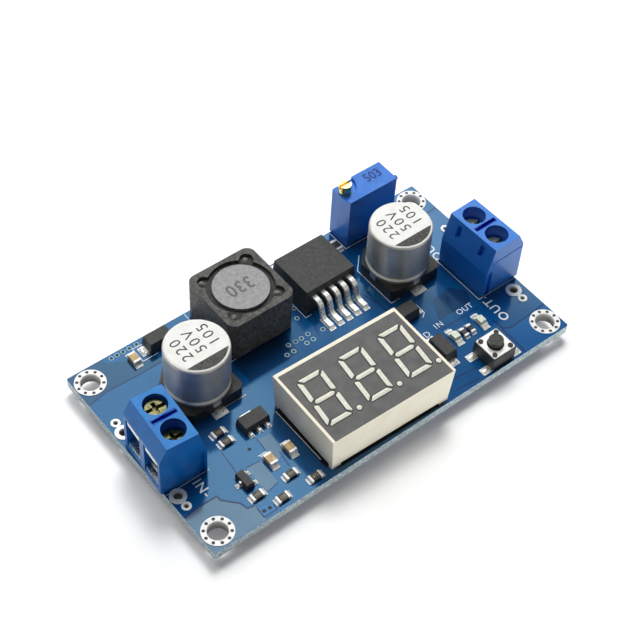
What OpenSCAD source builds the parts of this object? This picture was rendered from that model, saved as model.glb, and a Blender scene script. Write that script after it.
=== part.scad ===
// Boost converter module: a circuit board that carries two screw terminals, two capacitors,
// a shielded coil, a switching regulator, a multi-turn trimmer, a three-digit voltmeter display,
// a push button, two indicator lamps and small chips.
// Origin: centre of the four mounting holes on the underside of the board. +X runs from the
// input terminal to the output terminal, +Y from the display to the regulator, +Z is up.

/* [Board] */
// Length of the board along X
board_w = 68; // [66:0.5:74]
// Depth of the board along Y
board_d = 37.4; // [37:0.1:42]
// Thickness of the board
board_t = 1.6; // [1:0.1:2.4]
// Radius of the corners of the board
board_corner_r = 0.35; // [0.2:0.05:2]
// Diameter of the mounting holes
hole_d = 3.2; // [2.6:0.1:3.4]
// Outer diameter of the plated rings round the mounting holes
ring_d = 4.85; // [4.4:0.05:5.6]
// Bare board between a plated ring and the short edge
ring_edge_x = 0.075; // [0:0.025:1]
// Bare board between a plated ring and the long edge
ring_edge_y = 0.275; // [0:0.025:1]
// Thickness of the tinned pads and rings
plate_t = 0.1; // [0.06:0.02:0.2]
// Radial slack between a through pin and its hole in the board
pin_slack = 0.15; // [0.05:0.05:0.3]
// Length of the pins below the board
pin_tail = 1.6; // [1:0.1:2.4]
// Height of the solder cones on the underside
solder_h = 0.9; // [0.5:0.1:1]
// Width of the solder cones round each pin at the board
solder_foot = 0.55; // [0.3:0.05:0.8]
// Hole diameter of the wire holes beside the terminals
wire_hole_d = 1.35; // [0.8:0.05:1.4]
// Ring diameter of the wire holes
wire_ring_d = 2.6; // [2:0.1:2.6]
// Hole diameter of the small test holes next to the wire holes
test_hole_d = 0.75; // [0.5:0.05:0.8]
// Ring diameter of the small test holes
test_ring_d = 1.5; // [1.2:0.1:1.6]

/* [Screw terminals] */
// Distance between the two poles of a terminal
terminal_pitch = 5; // [4.8:0.1:5.4]
// Height of the terminal housings
terminal_h = 10; // [9.6:0.1:11]
// Screw axis to the wire side of the housing
terminal_front = 3.85; // [3.8:0.05:4.2]
// Screw axis to the plain side of the housing
terminal_back = 3.8; // [3.6:0.05:4]
// Width of the flat band on top
terminal_band = 5.1; // [4.6:0.1:5.6]
// Height at which the slope on the wire side starts
entry_slope_z = 7.5; // [7.4:0.1:8]
// Height at which the slope on the plain side starts
back_slope_z = 5.2; // [4.6:0.1:7]
// Width of the chamber of one pole
chamber_w = 3.8; // [3.7:0.05:3.95]
// Wall between a screwdriver hole and the end of the housing
terminal_end_wall = 0.7; // [0.6:0.05:0.9]
// Thickness of the floor of the housing
terminal_floor = 0.9; // [0.6:0.1:1]
// Height of the ceiling of the chamber
chamber_top = 6.4; // [6.2:0.1:6.6]
// Height of the wire window in the front wall
window_top = 7; // [6.8:0.1:7.2]
// Diameter of the screwdriver holes
driver_hole_d = 3.7; // [3.5:0.05:4]
// Diameter of the screw heads
screw_head_d = 3.1; // [2.9:0.05:3.4]
// Height of the screw heads
screw_head_h = 0.9; // [0.8:0.05:1.1]
// Diameter of the screw shanks
screw_shank_d = 2.5; // [2.2:0.1:2.7]
// Thread pitch of the screws
screw_pitch = 0.5; // [0.4:0.05:0.6]
// Turns that the front input screw is backed out
input_front_turns = 1; // [0:0.5:4]
// Turns that the back input screw is backed out
input_back_turns = 3.5; // [0:0.5:4]
// Turns that the output screws are backed out
output_turns = 0.5; // [0:0.5:4]
// Thickness of the contact strip
contact_t = 0.6; // [0.5:0.05:0.7]
// Width of the contact strip
contact_w = 3.4; // [3.2:0.1:3.6]
// Diameter of the terminal pins
terminal_pin_d = 1; // [0.8:0.1:1.1]
// Thickness of the wire clamps
clamp_t = 0.4; // [0.3:0.05:0.5]
// Rest distance of a tightened clamp above the contact strip
clamp_stop = 0.3; // [0.2:0.05:0.5]
// Gap between pieces that move past each other
run_gap = 0.05; // [0.03:0.01:0.1]
// Turn of the input terminal on the board, in degrees
input_turn = -4.6; // [-6:0.1:6]
// Turn of the output terminal on the board, in degrees
output_turn = 1.8; // [-6:0.1:6]

/* [Capacitors] */
// Diameter of the cans
cap_d = 10; // [9:0.1:10.6]
// Height of the capacitors above their pads
cap_h = 10.3; // [9:0.1:12]
// Width that the base stands out past the can, both sides together
cap_base_margin = 0; // [0:0.1:0.6]
// Height of the base plate
cap_base_h = 1; // [0.8:0.1:1.4]
// Height of the base corners above the base plate
cap_post_h = 1; // [0.6:0.1:1.4]
// Chamfer on the two back corners of the base
cap_chamfer = 2.2; // [1.6:0.1:2.6]
// Chamfer on the two front corners of the base
cap_front_chamfer = 0.7; // [0.3:0.1:1.2]
// Depth of the crimped groove round the can
cap_groove = 0.3; // [0.2:0.05:0.45]
// Height of the crimped groove above the base plate
cap_groove_z = 1.9; // [1.7:0.1:2.6]
// Radius of the rounded rim of the can
cap_rim_r = 0.5; // [0.3:0.05:0.8]
// Width of the leads of the capacitors
cap_lead_w = 1; // [0.8:0.1:1.2]
// Length of the leads outside the base
cap_lead_out = 0.8; // [0.5:0.1:1.1]

/* [Coil] */
// Side of the square shield
coil_w = 12; // [11.6:0.1:12.6]
// Height of the coil above its pads
coil_h = 7.9; // [7:0.1:9]
// Radius of the corners of the shield
coil_corner_r = 1.5; // [1:0.1:2]
// Diameter of the round opening of the shield
coil_bore_d = 10.6; // [10:0.1:10.8]
// Diameter of the top flange of the drum core
drum_d = 8.8; // [8.4:0.1:9.2]
// Diameter of the neck of the drum core
drum_neck_d = 5; // [4:0.1:6]
// Thickness of the drum flanges
drum_flange = 1.4; // [1:0.1:1.8]
// Diameter of the glue pockets in the corners of the shield
pocket_d = 2.2; // [1.8:0.1:2.4]
// Depth of the glue below the top of the shield
glue_sink = 0.5; // [0.3:0.1:0.8]
// Thickness of the coil terminals
coil_terminal_t = 0.3; // [0.2:0.05:0.4]

/* [Regulator] */
// Width of the regulator body at its foot
reg_w = 10; // [9.6:0.1:10.4]
// Length of the regulator body at its foot
reg_l = 8.8; // [8.4:0.1:9.2]
// Height of the regulator body
reg_h = 4.5; // [4:0.1:4.8]
// Narrowing of the body from foot to top, both sides together
reg_draft = 0.6; // [0.2:0.1:1]
// Thickness of the metal tab
reg_tab_t = 1.3; // [1:0.1:1.5]
// Length of the tab behind the body
reg_tab_out = 1.3; // [0.8:0.1:1.6]
// Pitch of the five leads
reg_pitch = 1.7; // [1.6:0.05:1.75]
// Width of a lead
reg_lead_w = 0.8; // [0.6:0.05:0.9]
// Thickness of a lead
reg_lead_t = 0.5; // [0.4:0.05:0.6]
// Height at which the leads leave the body
reg_lead_z = 3; // [2.4:0.1:3.2]
// Length of the straight lead beside the body
reg_lead_straight = 1.4; // [1:0.1:1.8]
// Length of the lead foot on its pad
reg_lead_foot = 2.3; // [1.8:0.1:2.6]
// Distance that a lead runs forward on its way down
reg_lead_drop = 0.8; // [0.6:0.1:1.2]

/* [Trimmer] */
// Length of the trimmer body
trim_l = 9.5; // [9:0.1:10]
// Width of the trimmer body
trim_w = 4.5; // [4.3:0.1:5]
// Height of the trimmer body
trim_h = 10; // [9:0.1:11]
// Height of the feet under the trimmer
trim_feet = 0.3; // [0.2:0.05:0.5]
// Radius of the round step beside the adjusting screw
trim_step_r = 3.8; // [3.4:0.1:4.2]
// Depth of the round step
trim_step_h = 0.5; // [0.3:0.05:1]
// Distance of the adjusting screw from the left end
trim_screw_x = 1.25; // [1.25:0.05:1.5]
// Distance of the adjusting screw from the back
trim_screw_y = 1.5; // [1.25:0.05:1.7]
// Diameter of the head of the adjusting screw
trim_head_d = 2.1; // [2:0.1:2.4]
// Height of the head of the adjusting screw
trim_head_h = 1.65; // [1.2:0.05:2]
// Diameter of the shank of the adjusting screw
trim_shank_d = 1.6; // [1.2:0.1:1.8]
// Length of the shank inside the body
trim_shank_l = 4; // [3:0.1:6]
// Pitch of the trimmer pins
trim_pin_pitch = 2.54; // [2.4:0.02:2.6]
// Diameter of the trimmer pins
trim_pin_d = 0.5; // [0.4:0.05:0.7]

/* [Display] */
// Length of the display face
disp_w = 22.5; // [21.5:0.1:23.5]
// Depth of the display face
disp_d = 14.4; // [13.6:0.1:14.6]
// Height of the display face above the board
disp_h = 7.25; // [6.8:0.05:8]
// Inward lean of each short wall from face to foot
disp_draft = 0.45; // [0.2:0.05:0.7]
// Gap between the board and the lower rim of the display
disp_gap = 0.5; // [0.3:0.05:0.8]
// Length of the corner feet of the display
disp_foot = 1.6; // [1:0.1:2]
// Wall of the display housing at its foot
disp_wall = 0.8; // [0.6:0.1:1]
// Thickness of the face plate
disp_face_t = 1.5; // [1:0.1:2]
// Depth of the hollow under the sealing resin
disp_hollow = 1.9; // [1.7:0.1:2.4]
// Height of a digit
digit_h = 9.1; // [8.6:0.1:9.8]
// Width of a digit
digit_w = 4.65; // [4.4:0.05:5]
// Part of the face length that one digit takes
digit_share = 0.327; // [0.316:0.001:0.333]
// Shift of the digits toward the front edge of the face
digit_drop = 0.15; // [0:0.05:0.4]
// Lean of the digits, in degrees
digit_lean = 5.5; // [0:0.5:8]
// Width of a segment
segment_w = 0.82; // [0.7:0.02:1.1]
// Gap between the segments of a digit
segment_gap = 0.22; // [0.15:0.01:0.3]
// Diameter of the decimal points
dot_d = 0.9; // [0.8:0.05:1.1]
// Pitch of the display pins
disp_pin_pitch = 2.54; // [2.4:0.02:2.6]
// Distance between the two rows of display pins
disp_pin_rows = 10.16; // [9.6:0.02:10.6]
// Diameter of the display pins
disp_pin_d = 0.5; // [0.4:0.05:0.6]
// Turn of the display on the board, in degrees
disp_turn = -1.5; // [-3:0.1:3]

/* [Push button] */
// Side of the button base
button_w = 4.5; // [4.3:0.1:5]
// Height of the button base and cover
button_h = 2.7; // [2.4:0.1:3.2]
// Thickness of the steel cover
button_cover_t = 0.25; // [0.2:0.05:0.35]
// Diameter of the plunger
plunger_d = 2.3; // [2:0.1:2.5]
// Height of the plunger above the cover
plunger_out = 1; // [0.7:0.05:1.6]
// Travel of the plunger
plunger_travel = 0.25; // [0.2:0.05:0.3]
// Diameter of the collar that holds the plunger in
plunger_collar_d = 3.1; // [3:0.05:3.3]
// Diameter of the rivets on the cover
rivet_d = 0.8; // [0.6:0.05:0.9]

/* [Chips] */
// Length of a chip resistor
res_l = 2; // [1.8:0.05:2.1]
// Width of a chip resistor
res_w = 1.2; // [1:0.05:1.3]
// Height of a chip resistor
res_h = 0.45; // [0.35:0.05:0.6]
// Length of a chip capacitor
mlcc_l = 2; // [1.9:0.05:2.2]
// Width of a chip capacitor
mlcc_w = 1.25; // [1:0.05:1.4]
// Height of a chip capacitor
mlcc_h = 0.9; // [0.7:0.05:1.2]
// Length of a metal end of a chip
chip_end = 0.35; // [0.25:0.05:0.45]
// Length of an indicator lamp
lamp_l = 2; // [1.8:0.05:2.2]
// Width of an indicator lamp
lamp_w = 1.25; // [1.1:0.05:1.4]
// Height of the base plate of an indicator lamp
lamp_base_h = 0.3; // [0.2:0.05:0.4]
// Height of the lens of an indicator lamp
lamp_lens_h = 0.5; // [0.4:0.05:0.7]
// Length of a diode body
diode_l = 4.3; // [4:0.1:4.6]
// Width of a diode body
diode_w = 2.5; // [2.2:0.1:2.7]
// Height of a diode body
diode_h = 2; // [1.2:0.1:2.3]
// Length of the leads outside small bodies
lead_out = 0.6; // [0.4:0.05:0.8]

/* [Layout] */
// Gap between the input terminal and the input capacitor, as a part of the free length
input_cap_gap = 1.95; // [1:0.05:2.5]
// Gap between the input capacitor and the coil, as a part of the free length
coil_gap = 1.95; // [1.2:0.05:2.5]
// Gap between the coil and the regulator, as a part of the free length
reg_gap = 2.775; // [2:0.025:3.5]
// Gap between the regulator and the output capacitor, as a part of the free length
reg_cap_gap = 2.425; // [1.5:0.025:3]
// Gap between the output capacitor and the output terminal, as a part of the free length
output_cap_gap = 2.05; // [1:0.05:2.5]
// Overhang of the output terminal past the edge of the board
output_overhang = 0.5; // [0:0.05:0.8]
// Bare board in front of the display
disp_front_gap = 0.3; // [0.2:0.05:0.6]
// Overhang of the trimmer past the back edge of the board
trim_overhang = 0.35; // [0:0.05:0.5]
// Bare board behind the coil
coil_back_gap = 0.3; // [0.1:0.05:0.6]
// Bare board in front of the button base
button_front_gap = 0.45; // [0.2:0.05:0.6]

/* [Hidden] */
$fn = 48;
eps = 0.01;

// Levels: the top of the board, and the top of the pads on it
top = board_t;
seat = board_t + plate_t;

// Mounting holes
hole_x = board_w / 2 - ring_edge_x - ring_d / 2;
hole_y = board_d / 2 - ring_edge_y - ring_d / 2;

// Terminals: local +X points to the wire side
terminal_w = terminal_pitch + driver_hole_d + 2 * terminal_end_wall;
input_inset = 0.05;
input_terminal_at = [-board_w / 2 + terminal_front + input_inset, -1.67];
output_terminal_at = [board_w / 2 - terminal_front + output_overhang, -1.3];
input_angle = 180 + input_turn;
output_angle = output_turn;
input_front_y = terminal_pitch / 2;
output_front_y = -terminal_pitch / 2;
chamber_back = 2.9;
head_low_z = chamber_top + run_gap;
contact_floor_z = terminal_floor + contact_t;
shank_l = head_low_z - contact_floor_z - clamp_stop - clamp_t - run_gap;
contact_front_x = terminal_front - 0.15;

// Capacitors
cap_base_w = cap_d + cap_base_margin;
cap_lead_t = 0.3;
cap_seat_slack = 0.05;
// The row of terminals, capacitors, coil and regulator shares the length of the board that they leave free
free_l = board_w - input_inset + output_overhang - 2 * (terminal_front + terminal_back)
    - 2 * cap_base_w - coil_w - reg_w;
gap_scale = free_l / (input_cap_gap + coil_gap + reg_gap + reg_cap_gap + output_cap_gap);
input_side_x = input_terminal_at.x + terminal_back;
output_side_x = output_terminal_at.x - terminal_back;
input_cap_at = [input_side_x + gap_scale * input_cap_gap + cap_base_w / 2, 5.65];
output_cap_at = [output_side_x - gap_scale * output_cap_gap - cap_base_w / 2, 6.2];
cap_pad_w = 2.4;

// Coil
coil_at = [input_cap_at.x + cap_base_w / 2 + gap_scale * coil_gap + coil_w / 2,
           board_d / 2 - coil_back_gap - coil_w / 2];
pocket_at = coil_bore_d / 2 * 0.745;
coil_terminal_w = 5;
winding_slack = 0.1;

// Regulator
reg_back_gap = 1.2;
reg_at = [coil_at.x + coil_w / 2 + gap_scale * reg_gap + reg_w / 2,
    board_d / 2 - reg_back_gap - reg_tab_out - reg_l / 2];
reg_tab_in = reg_l * 0.76;
reg_pad_in = reg_tab_in * 0.6;
reg_lead_in = reg_l * 0.115;
reg_lead_count = 5;
lead_slope = 72;
bend_steps = 4;
reg_tab_w = reg_w - 0.4;
reg_front_y = -reg_l / 2;
lead_tip_y = reg_front_y - reg_lead_straight - reg_lead_drop - reg_lead_foot;

// Trimmer
trim_at = [output_cap_at.x + 1.5, board_d / 2 + trim_overhang - trim_w / 2];
trim_screw_xy = [-trim_l / 2 + trim_screw_x, trim_w / 2 - trim_screw_y];
trim_pin_in = 1;

// Display
disp_share = 0.4676;
disp_at = [input_side_x + disp_share * (output_side_x - input_side_x),
    -board_d / 2 + disp_front_gap + disp_d / 2 + disp_w / 2 * abs(sin(disp_turn))];
disp_foot_w = disp_w - 2 * disp_draft;
disp_foot_d = disp_d - disp_draft;
disp_inner_w = disp_foot_w - 2 * disp_wall;
disp_inner_d = disp_foot_d - 2 * disp_wall;
disp_pin_in = 1;
disp_pins_per_row = 6;
disp_digits = 3;
digit_pitch = disp_w * digit_share;

// Push button, lamps and the chips between them
function left_x(part) = input_side_x + part * (disp_at.x - disp_w / 2 - input_side_x);
function right_x(part) = output_side_x - part * (output_side_x - disp_at.x - disp_w / 2);
button_at = [right_x(0.3724), -board_d / 2 + button_front_gap + button_w / 2];
lamp_gap = 3.7;
button_floor = 0.6;
dome_t = 0.1;
dome_d = plunger_collar_d;
cover_under = button_h - button_cover_t;
dome_rise = plunger_travel + 2 * dome_t;
plunger_foot_z = button_floor + dome_rise + run_gap;
collar_h = cover_under - run_gap - plunger_foot_z;
button_leg_y = button_w / 2 - 0.65;
leg_w = 0.7;
leg_t = 0.2;
rivet_at = button_w / 2 - 0.65;
cover_hole_d = plunger_d + 0.4;
rivet_h = 0.15;
lamp_y = button_at.y + button_w / 2 + lamp_gap;
input_lamp_at = [right_x(0.5191), lamp_y];
output_lamp_at = [right_x(0.2082), lamp_y];

// Rows of chips along the front edge and the back edge
row_1 = 1.475;
row_2 = 3.925;
row_3 = 7.5;
trans_row = 6.9;
back_row = 3.15;
diode_row = 2.5;
front_y = -board_d / 2;
back_y = board_d / 2;
trim_chip_gap = 1.45;
mlcc_inset = 0.4;

// Places of the chips as x, y and turn
resistor_places = [
    [left_x(0.331), -2.85, 0], [left_x(0.331), -4.75, 0],
    [left_x(0.191), front_y + row_2, 0], [left_x(0.629), front_y + row_2, 0],
    [left_x(0.816), front_y + row_1, 0], [left_x(0.386), front_y + row_1, 0],
    [trim_at.x - trim_l / 2 - trim_chip_gap, back_y - back_row, 90]
];
lamp_resistor_places = [for (part = [0.4223, 0.3431]) [right_x(part), lamp_y - 0.2, 90]];
mlcc_places = [[left_x(0.5625), front_y + row_3, 90], [left_x(0.816), front_y + row_3, 90],
    [input_cap_at.x - cap_base_w / 2 + mlcc_inset, back_y - back_row, 90]];
diode_places = [[input_cap_at.x + 0.15, back_y - diode_row, 0], [right_x(0.7361), -2.3, 0],
    [right_x(0.7243), lamp_y - 0.85, 90]];
small_regulator_at = [left_x(0.7132), -4.3];
transistor_at = [left_x(0.191), front_y + trans_row];
controller_at = disp_at;

// Wire holes and test holes beside the terminals, as x, y
wire_hole_edge_in = 1.4;
wire_hole_edge_out = 2;
wire_holes = [
    [-board_w / 2 + wire_hole_edge_in, input_terminal_at.y + terminal_w / 2 + 2.22],
    [-board_w / 2 + wire_hole_edge_in, input_terminal_at.y - terminal_w / 2 - 1.33],
    [board_w / 2 - wire_hole_edge_out, output_terminal_at.y - terminal_w / 2 - 2],
    [board_w / 2 - wire_hole_edge_out, output_terminal_at.y + terminal_w / 2 + 2.25]
];
test_hole_step = (wire_ring_d + test_ring_d) / 2;
test_holes = [for (p = wire_holes) [p.x, p.y + sign(p.y) * test_hole_step]];

// Small leaded bodies
small_reg = [4.5, 2.5, 1.5];
small_reg_pitch = 1.5;
small_lead_t = 0.4;
trans = [2.9, 1.4, 1];
trans_lead_t = 0.15;
controller = [6.5, 4.4, 0.9];
controller_pitch = 0.65;
controller_pins = 10;
controller_lead_t = 0.15;
diode_lead_t = 0.25;
lamp_res = [1.6, 0.8, 0.45];
diode_lead_w = 1.5;

// A point of a turned frame, seen from the board
function turned(p, a) = [p.x * cos(a) - p.y * sin(a), p.x * sin(a) + p.y * cos(a)];

// Every pin that passes through the board, as x, y and diameter
function row(n, pitch) = [for (i = [0 : n - 1]) (i - (n - 1) / 2) * pitch];
input_pins = [for (s = [-1, 1]) input_terminal_at + turned([0, s * terminal_pitch / 2], input_angle)];
output_pins = [for (s = [-1, 1]) output_terminal_at + turned([0, s * terminal_pitch / 2], output_angle)];
trimmer_pin_places = [for (x = row(3, trim_pin_pitch)) trim_at + [x, 0]];
display_pin_local = [for (s = [-1, 1], x = row(disp_pins_per_row, disp_pin_pitch))
    [x, s * disp_pin_rows / 2]];
display_pin_places = [for (p = display_pin_local) disp_at + turned(p, disp_turn)];
through_pins = concat(
    [for (p = concat(input_pins, output_pins)) [p.x, p.y, terminal_pin_d]],
    [for (p = trimmer_pin_places) [p.x, p.y, trim_pin_d]],
    [for (p = display_pin_places) [p.x, p.y, disp_pin_d]]
);

// Plain shapes

// Box of the given length, width and height that stands on the origin
module block(size) {
    translate([-size.x / 2, -size.y / 2, 0]) cube(size);
}

// Flat ring
module flat_ring(outer_d, inner_d, h) {
    difference() {
        cylinder(d = outer_d, h = h);
        translate([0, 0, -eps]) cylinder(d = inner_d, h = h + 2 * eps);
    }
}

// Plate with round corners
module round_plate(w, d, r, h) {
    linear_extrude(h) {
        square([w - 2 * r, d], center = true);
        square([w, d - 2 * r], center = true);
        for (sx = [-1, 1], sy = [-1, 1])
            translate([sx * (w / 2 - r), sy * (d / 2 - r)]) circle(r);
    }
}

// Block whose four sides lean from the foot size to the top size
module draft_block(foot, head, h) {
    intersection() {
        rotate([90, 0, 0]) linear_extrude(max(foot.y, head.y) + 1, center = true)
            polygon([[-foot.x / 2, 0], [foot.x / 2, 0], [head.x / 2, h], [-head.x / 2, h]]);
        rotate([90, 0, 90]) linear_extrude(max(foot.x, head.x) + 1, center = true)
            polygon([[-foot.y / 2, 0], [foot.y / 2, 0], [head.y / 2, h], [-head.y / 2, h]]);
    }
}

// Side profile in X and Z, pulled along Y to a width
module side_profile(points, w) {
    rotate([90, 0, 0]) linear_extrude(w, center = true) polygon(points);
}

// Points of a round bend about a centre, from one angle to another
function bend(at, r, from, to) = [for (i = [0 : bend_steps])
    let (a = from + (to - from) * i / bend_steps) at + r * [cos(a), sin(a)]];

// Lead that leaves a body at height z, bends down to its pad and runs on along +X
module gull_lead(z, t, w, straight, drop, foot) {
    fall = z - t / 2;
    r = 0.3 * fall + 0.25 * t;
    slope_l = (fall - 2 * r * (1 - cos(lead_slope))) / sin(lead_slope);
    run = 2 * r * sin(lead_slope) + slope_l * cos(lead_slope);
    upper = [straight + drop / 2 + 0.3 * t - run / 2, z - r];
    lower = [upper.x + run, t / 2 + r];
    tip = straight + drop + foot;
    side_profile(concat(
        [[0, z + t / 2]],
        bend(upper, r + t / 2, 90, 90 - lead_slope),
        bend(lower, r - t / 2, 270 - lead_slope, 270),
        [[tip, t], [tip, 0]],
        bend(lower, r + t / 2, 270, 270 - lead_slope),
        bend(upper, r - t / 2, 90 - lead_slope, 90),
        [[0, z - t / 2]]), w);
}

// Board

module circuit_board() {
    color("royalblue") difference() {
        round_plate(board_w, board_d, board_corner_r, board_t);
        for (sx = [-1, 1], sy = [-1, 1])
            translate([sx * hole_x, sy * hole_y, -eps]) cylinder(d = hole_d, h = board_t + 2 * eps);
        for (p = wire_holes)
            translate([p.x, p.y, -eps]) cylinder(d = wire_hole_d, h = board_t + 2 * eps);
        for (p = test_holes)
            translate([p.x, p.y, -eps]) cylinder(d = test_hole_d, h = board_t + 2 * eps);
        for (p = through_pins)
            translate([p.x, p.y, -eps]) cylinder(d = p.z + 2 * pin_slack, h = board_t + 2 * eps);
    }
}

module mounting_rings() {
    color("gainsboro")
        for (sx = [-1, 1], sy = [-1, 1], z = [-plate_t, top])
            translate([sx * hole_x, sy * hole_y, z]) flat_ring(ring_d, hole_d, plate_t);
}

module wire_hole_rings() {
    color("gainsboro")
        for (i = [0 : len(wire_holes) - 1], z = [-plate_t, top]) {
            translate([wire_holes[i].x, wire_holes[i].y, z]) flat_ring(wire_ring_d, wire_hole_d, plate_t);
            translate([test_holes[i].x, test_holes[i].y, z]) flat_ring(test_ring_d, test_hole_d, plate_t);
        }
}

// Tinned pad with its centre at x, y
module pad(x, y, l, w) {
    translate([x, y, 0]) block([l, w, plate_t]);
}

// Pair of pads for a two-ended part that runs along X
module end_pads(l, w, reach) {
    inner = 0.3;
    for (s = [-1, 1]) pad(s * (l / 2 + (reach - inner) / 2), 0, reach + inner, w);
}

module solder_pads() {
    color("silver") translate([0, 0, top]) {
        for (p = resistor_places)
            translate([p.x, p.y, 0]) rotate(p.z) end_pads(res_l, res_w, 0.4);
        for (p = lamp_resistor_places)
            translate([p.x, p.y, 0]) rotate(p.z) end_pads(lamp_res.x, lamp_res.y, 0.35);
        for (p = mlcc_places)
            translate([p.x, p.y, 0]) rotate(p.z) end_pads(mlcc_l, mlcc_w, 0.6);
        for (p = diode_places)
            translate([p.x, p.y, 0]) rotate(p.z) end_pads(diode_l, diode_lead_w + 0.3, lead_out + 0.5);
        for (p = [input_lamp_at, output_lamp_at])
            translate([p.x, p.y, 0]) rotate(90) end_pads(lamp_l, lamp_w, 0.7);
        for (p = [input_cap_at, output_cap_at])
            translate([p.x, p.y, 0]) rotate(90) end_pads(cap_base_w, cap_pad_w, cap_lead_out + 0.5);
        translate([coil_at.x, coil_at.y, 0])
            for (s = [-1, 1]) pad(s * coil_w / 2 * 0.8, 0, coil_w / 2 * 0.4, coil_terminal_w);
        translate([reg_at.x, reg_at.y, 0]) {
            pad(0, reg_l / 2 + (reg_tab_out - reg_pad_in) / 2, reg_tab_w, reg_tab_out + reg_pad_in);
            for (x = row(reg_lead_count, reg_pitch))
                pad(x, lead_tip_y + reg_lead_foot / 2 - 0.3, reg_lead_w + 0.3, reg_lead_foot + 0.6);
        }
        translate([button_at.x, button_at.y, 0])
            for (sx = [-1, 1], sy = [-1, 1])
                pad(sx * (button_w / 2 + 0.6), sy * button_leg_y, 2, 1.3);
        translate([small_regulator_at.x, small_regulator_at.y, 0]) {
            for (x = row(3, small_reg_pitch)) pad(x, -small_reg.y / 2 - lead_out / 2, 0.8, lead_out + 0.5);
            pad(0, small_reg.y / 2 + lead_out / 2, 2, lead_out + 0.5);
        }
        translate([transistor_at.x, transistor_at.y, 0]) {
            for (s = [-1, 1]) pad(trans.y / 2 + lead_out / 2, s * 0.95, lead_out + 0.4, 0.7);
            pad(-trans.y / 2 - lead_out / 2, 0, lead_out + 0.4, 0.7);
        }
        translate([controller_at.x, controller_at.y, 0])
            for (s = [-1, 1], x = row(controller_pins, controller_pitch))
                pad(x, s * (controller.y / 2 + lead_out / 2), 0.4, lead_out + 0.4);
    }
}

module solder_joints() {
    color("lightgray")
        for (p = through_pins)
            translate([p.x, p.y, -solder_h]) difference() {
                cylinder(d1 = p.z + 0.2, d2 = p.z + 2 * solder_foot, h = solder_h);
                translate([0, 0, -eps]) cylinder(d = p.z, h = solder_h + 2 * eps);
            }
}

// Screw terminals

// Puts a terminal piece on the board, turned so that its wire side faces outward
module on_terminal(at, angle) {
    translate([at.x, at.y, top]) rotate(angle) children();
}

// Housing with two chambers, open to the wire side and to the screwdriver
module terminal_housing() {
    groove_w = 0.6;
    end_groove_w = 0.8;
    end_groove_x = 0.85;
    groove_deep = 0.25;
    end_groove_deep = terminal_end_wall * 0.55;
    difference() {
        side_profile([[-terminal_back, 0], [terminal_front, 0], [terminal_front, entry_slope_z],
            [terminal_band / 2, terminal_h], [-terminal_band / 2, terminal_h],
            [-terminal_back, back_slope_z]], terminal_w);
        for (y = row(2, terminal_pitch)) translate([0, y, 0]) {
            translate([-chamber_back, -chamber_w / 2, terminal_floor])
                cube([chamber_back + terminal_front + 1, chamber_w, chamber_top - terminal_floor]);
            translate([contact_front_x - contact_t - run_gap, -chamber_w / 2, terminal_floor])
                cube([terminal_front, chamber_w, window_top - terminal_floor]);
            translate([0, 0, chamber_top - eps]) cylinder(d = driver_hole_d, h = terminal_h);
            translate([0, 0, -eps])
                cylinder(d = terminal_pin_d + 2 * run_gap, h = terminal_floor + 2 * eps);
            probe_slot();
        }
        translate([0, 0, terminal_h - 0.5]) block([terminal_band - 0.9, groove_w, 1]);
        for (s = [-1, 1])
            translate([-terminal_back + end_groove_x, s * terminal_w / 2, -eps])
                block([end_groove_w, 2 * end_groove_deep, back_slope_z]);
        translate([0.8, -terminal_w / 2, entry_slope_z - 0.6])
            block([terminal_back + terminal_front - 1.6, groove_deep, 0.2]);
    }
}

// Narrow slot in the slope on the plain side
module probe_slot() {
    slot_drop = 1.9;
    slot_h = 2.1;
    slot_w = 0.9;
    slot_deep = 0.7;
    lean = (terminal_back - terminal_band / 2) / (terminal_h - back_slope_z);
    translate([-terminal_band / 2 - slot_drop * lean, 0, terminal_h - slot_drop - slot_h / 2])
        block([2 * slot_deep, slot_w, slot_h]);
}

// Bent contact strip of one pole with its pin
module terminal_contact() {
    back_x = -chamber_back + 0.3;
    top_z = chamber_top - contact_t;
    lip_h = window_top - chamber_top - run_gap;
    difference() {
        side_profile([[back_x, terminal_floor], [contact_front_x, terminal_floor],
            [contact_front_x, contact_floor_z], [back_x + contact_t, contact_floor_z],
            [back_x + contact_t, top_z], [contact_front_x, top_z],
            [contact_front_x, chamber_top + lip_h], [contact_front_x - contact_t, chamber_top + lip_h],
            [contact_front_x - contact_t, chamber_top], [back_x, chamber_top]], contact_w);
        translate([0, 0, top_z - eps]) cylinder(d = screw_shank_d + 2 * run_gap, h = contact_t + 2 * eps);
    }
    translate([0, 0, -board_t - pin_tail])
        cylinder(d = terminal_pin_d, h = board_t + pin_tail + terminal_floor + eps);
}

module terminal_contacts() {
    for (y = row(2, terminal_pitch)) translate([0, y, 0]) terminal_contact();
}

// Clamping screw with a cross slot, backed out by a number of turns
module terminal_screw(turns) {
    slot_w = 0.6;
    slot_deep = 0.7;
    head_z = head_low_z + turns * screw_pitch;
    difference() {
        union() {
            translate([0, 0, head_z]) cylinder(d = screw_head_d, h = screw_head_h);
            translate([0, 0, head_z - shank_l]) cylinder(d = screw_shank_d, h = shank_l + eps);
        }
        translate([0, 0, head_z + screw_head_h - slot_deep]) {
            block([screw_head_d + 1, slot_w, slot_deep + 1]);
            block([slot_w, screw_head_d * 0.65, slot_deep + 1]);
        }
    }
}

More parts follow.
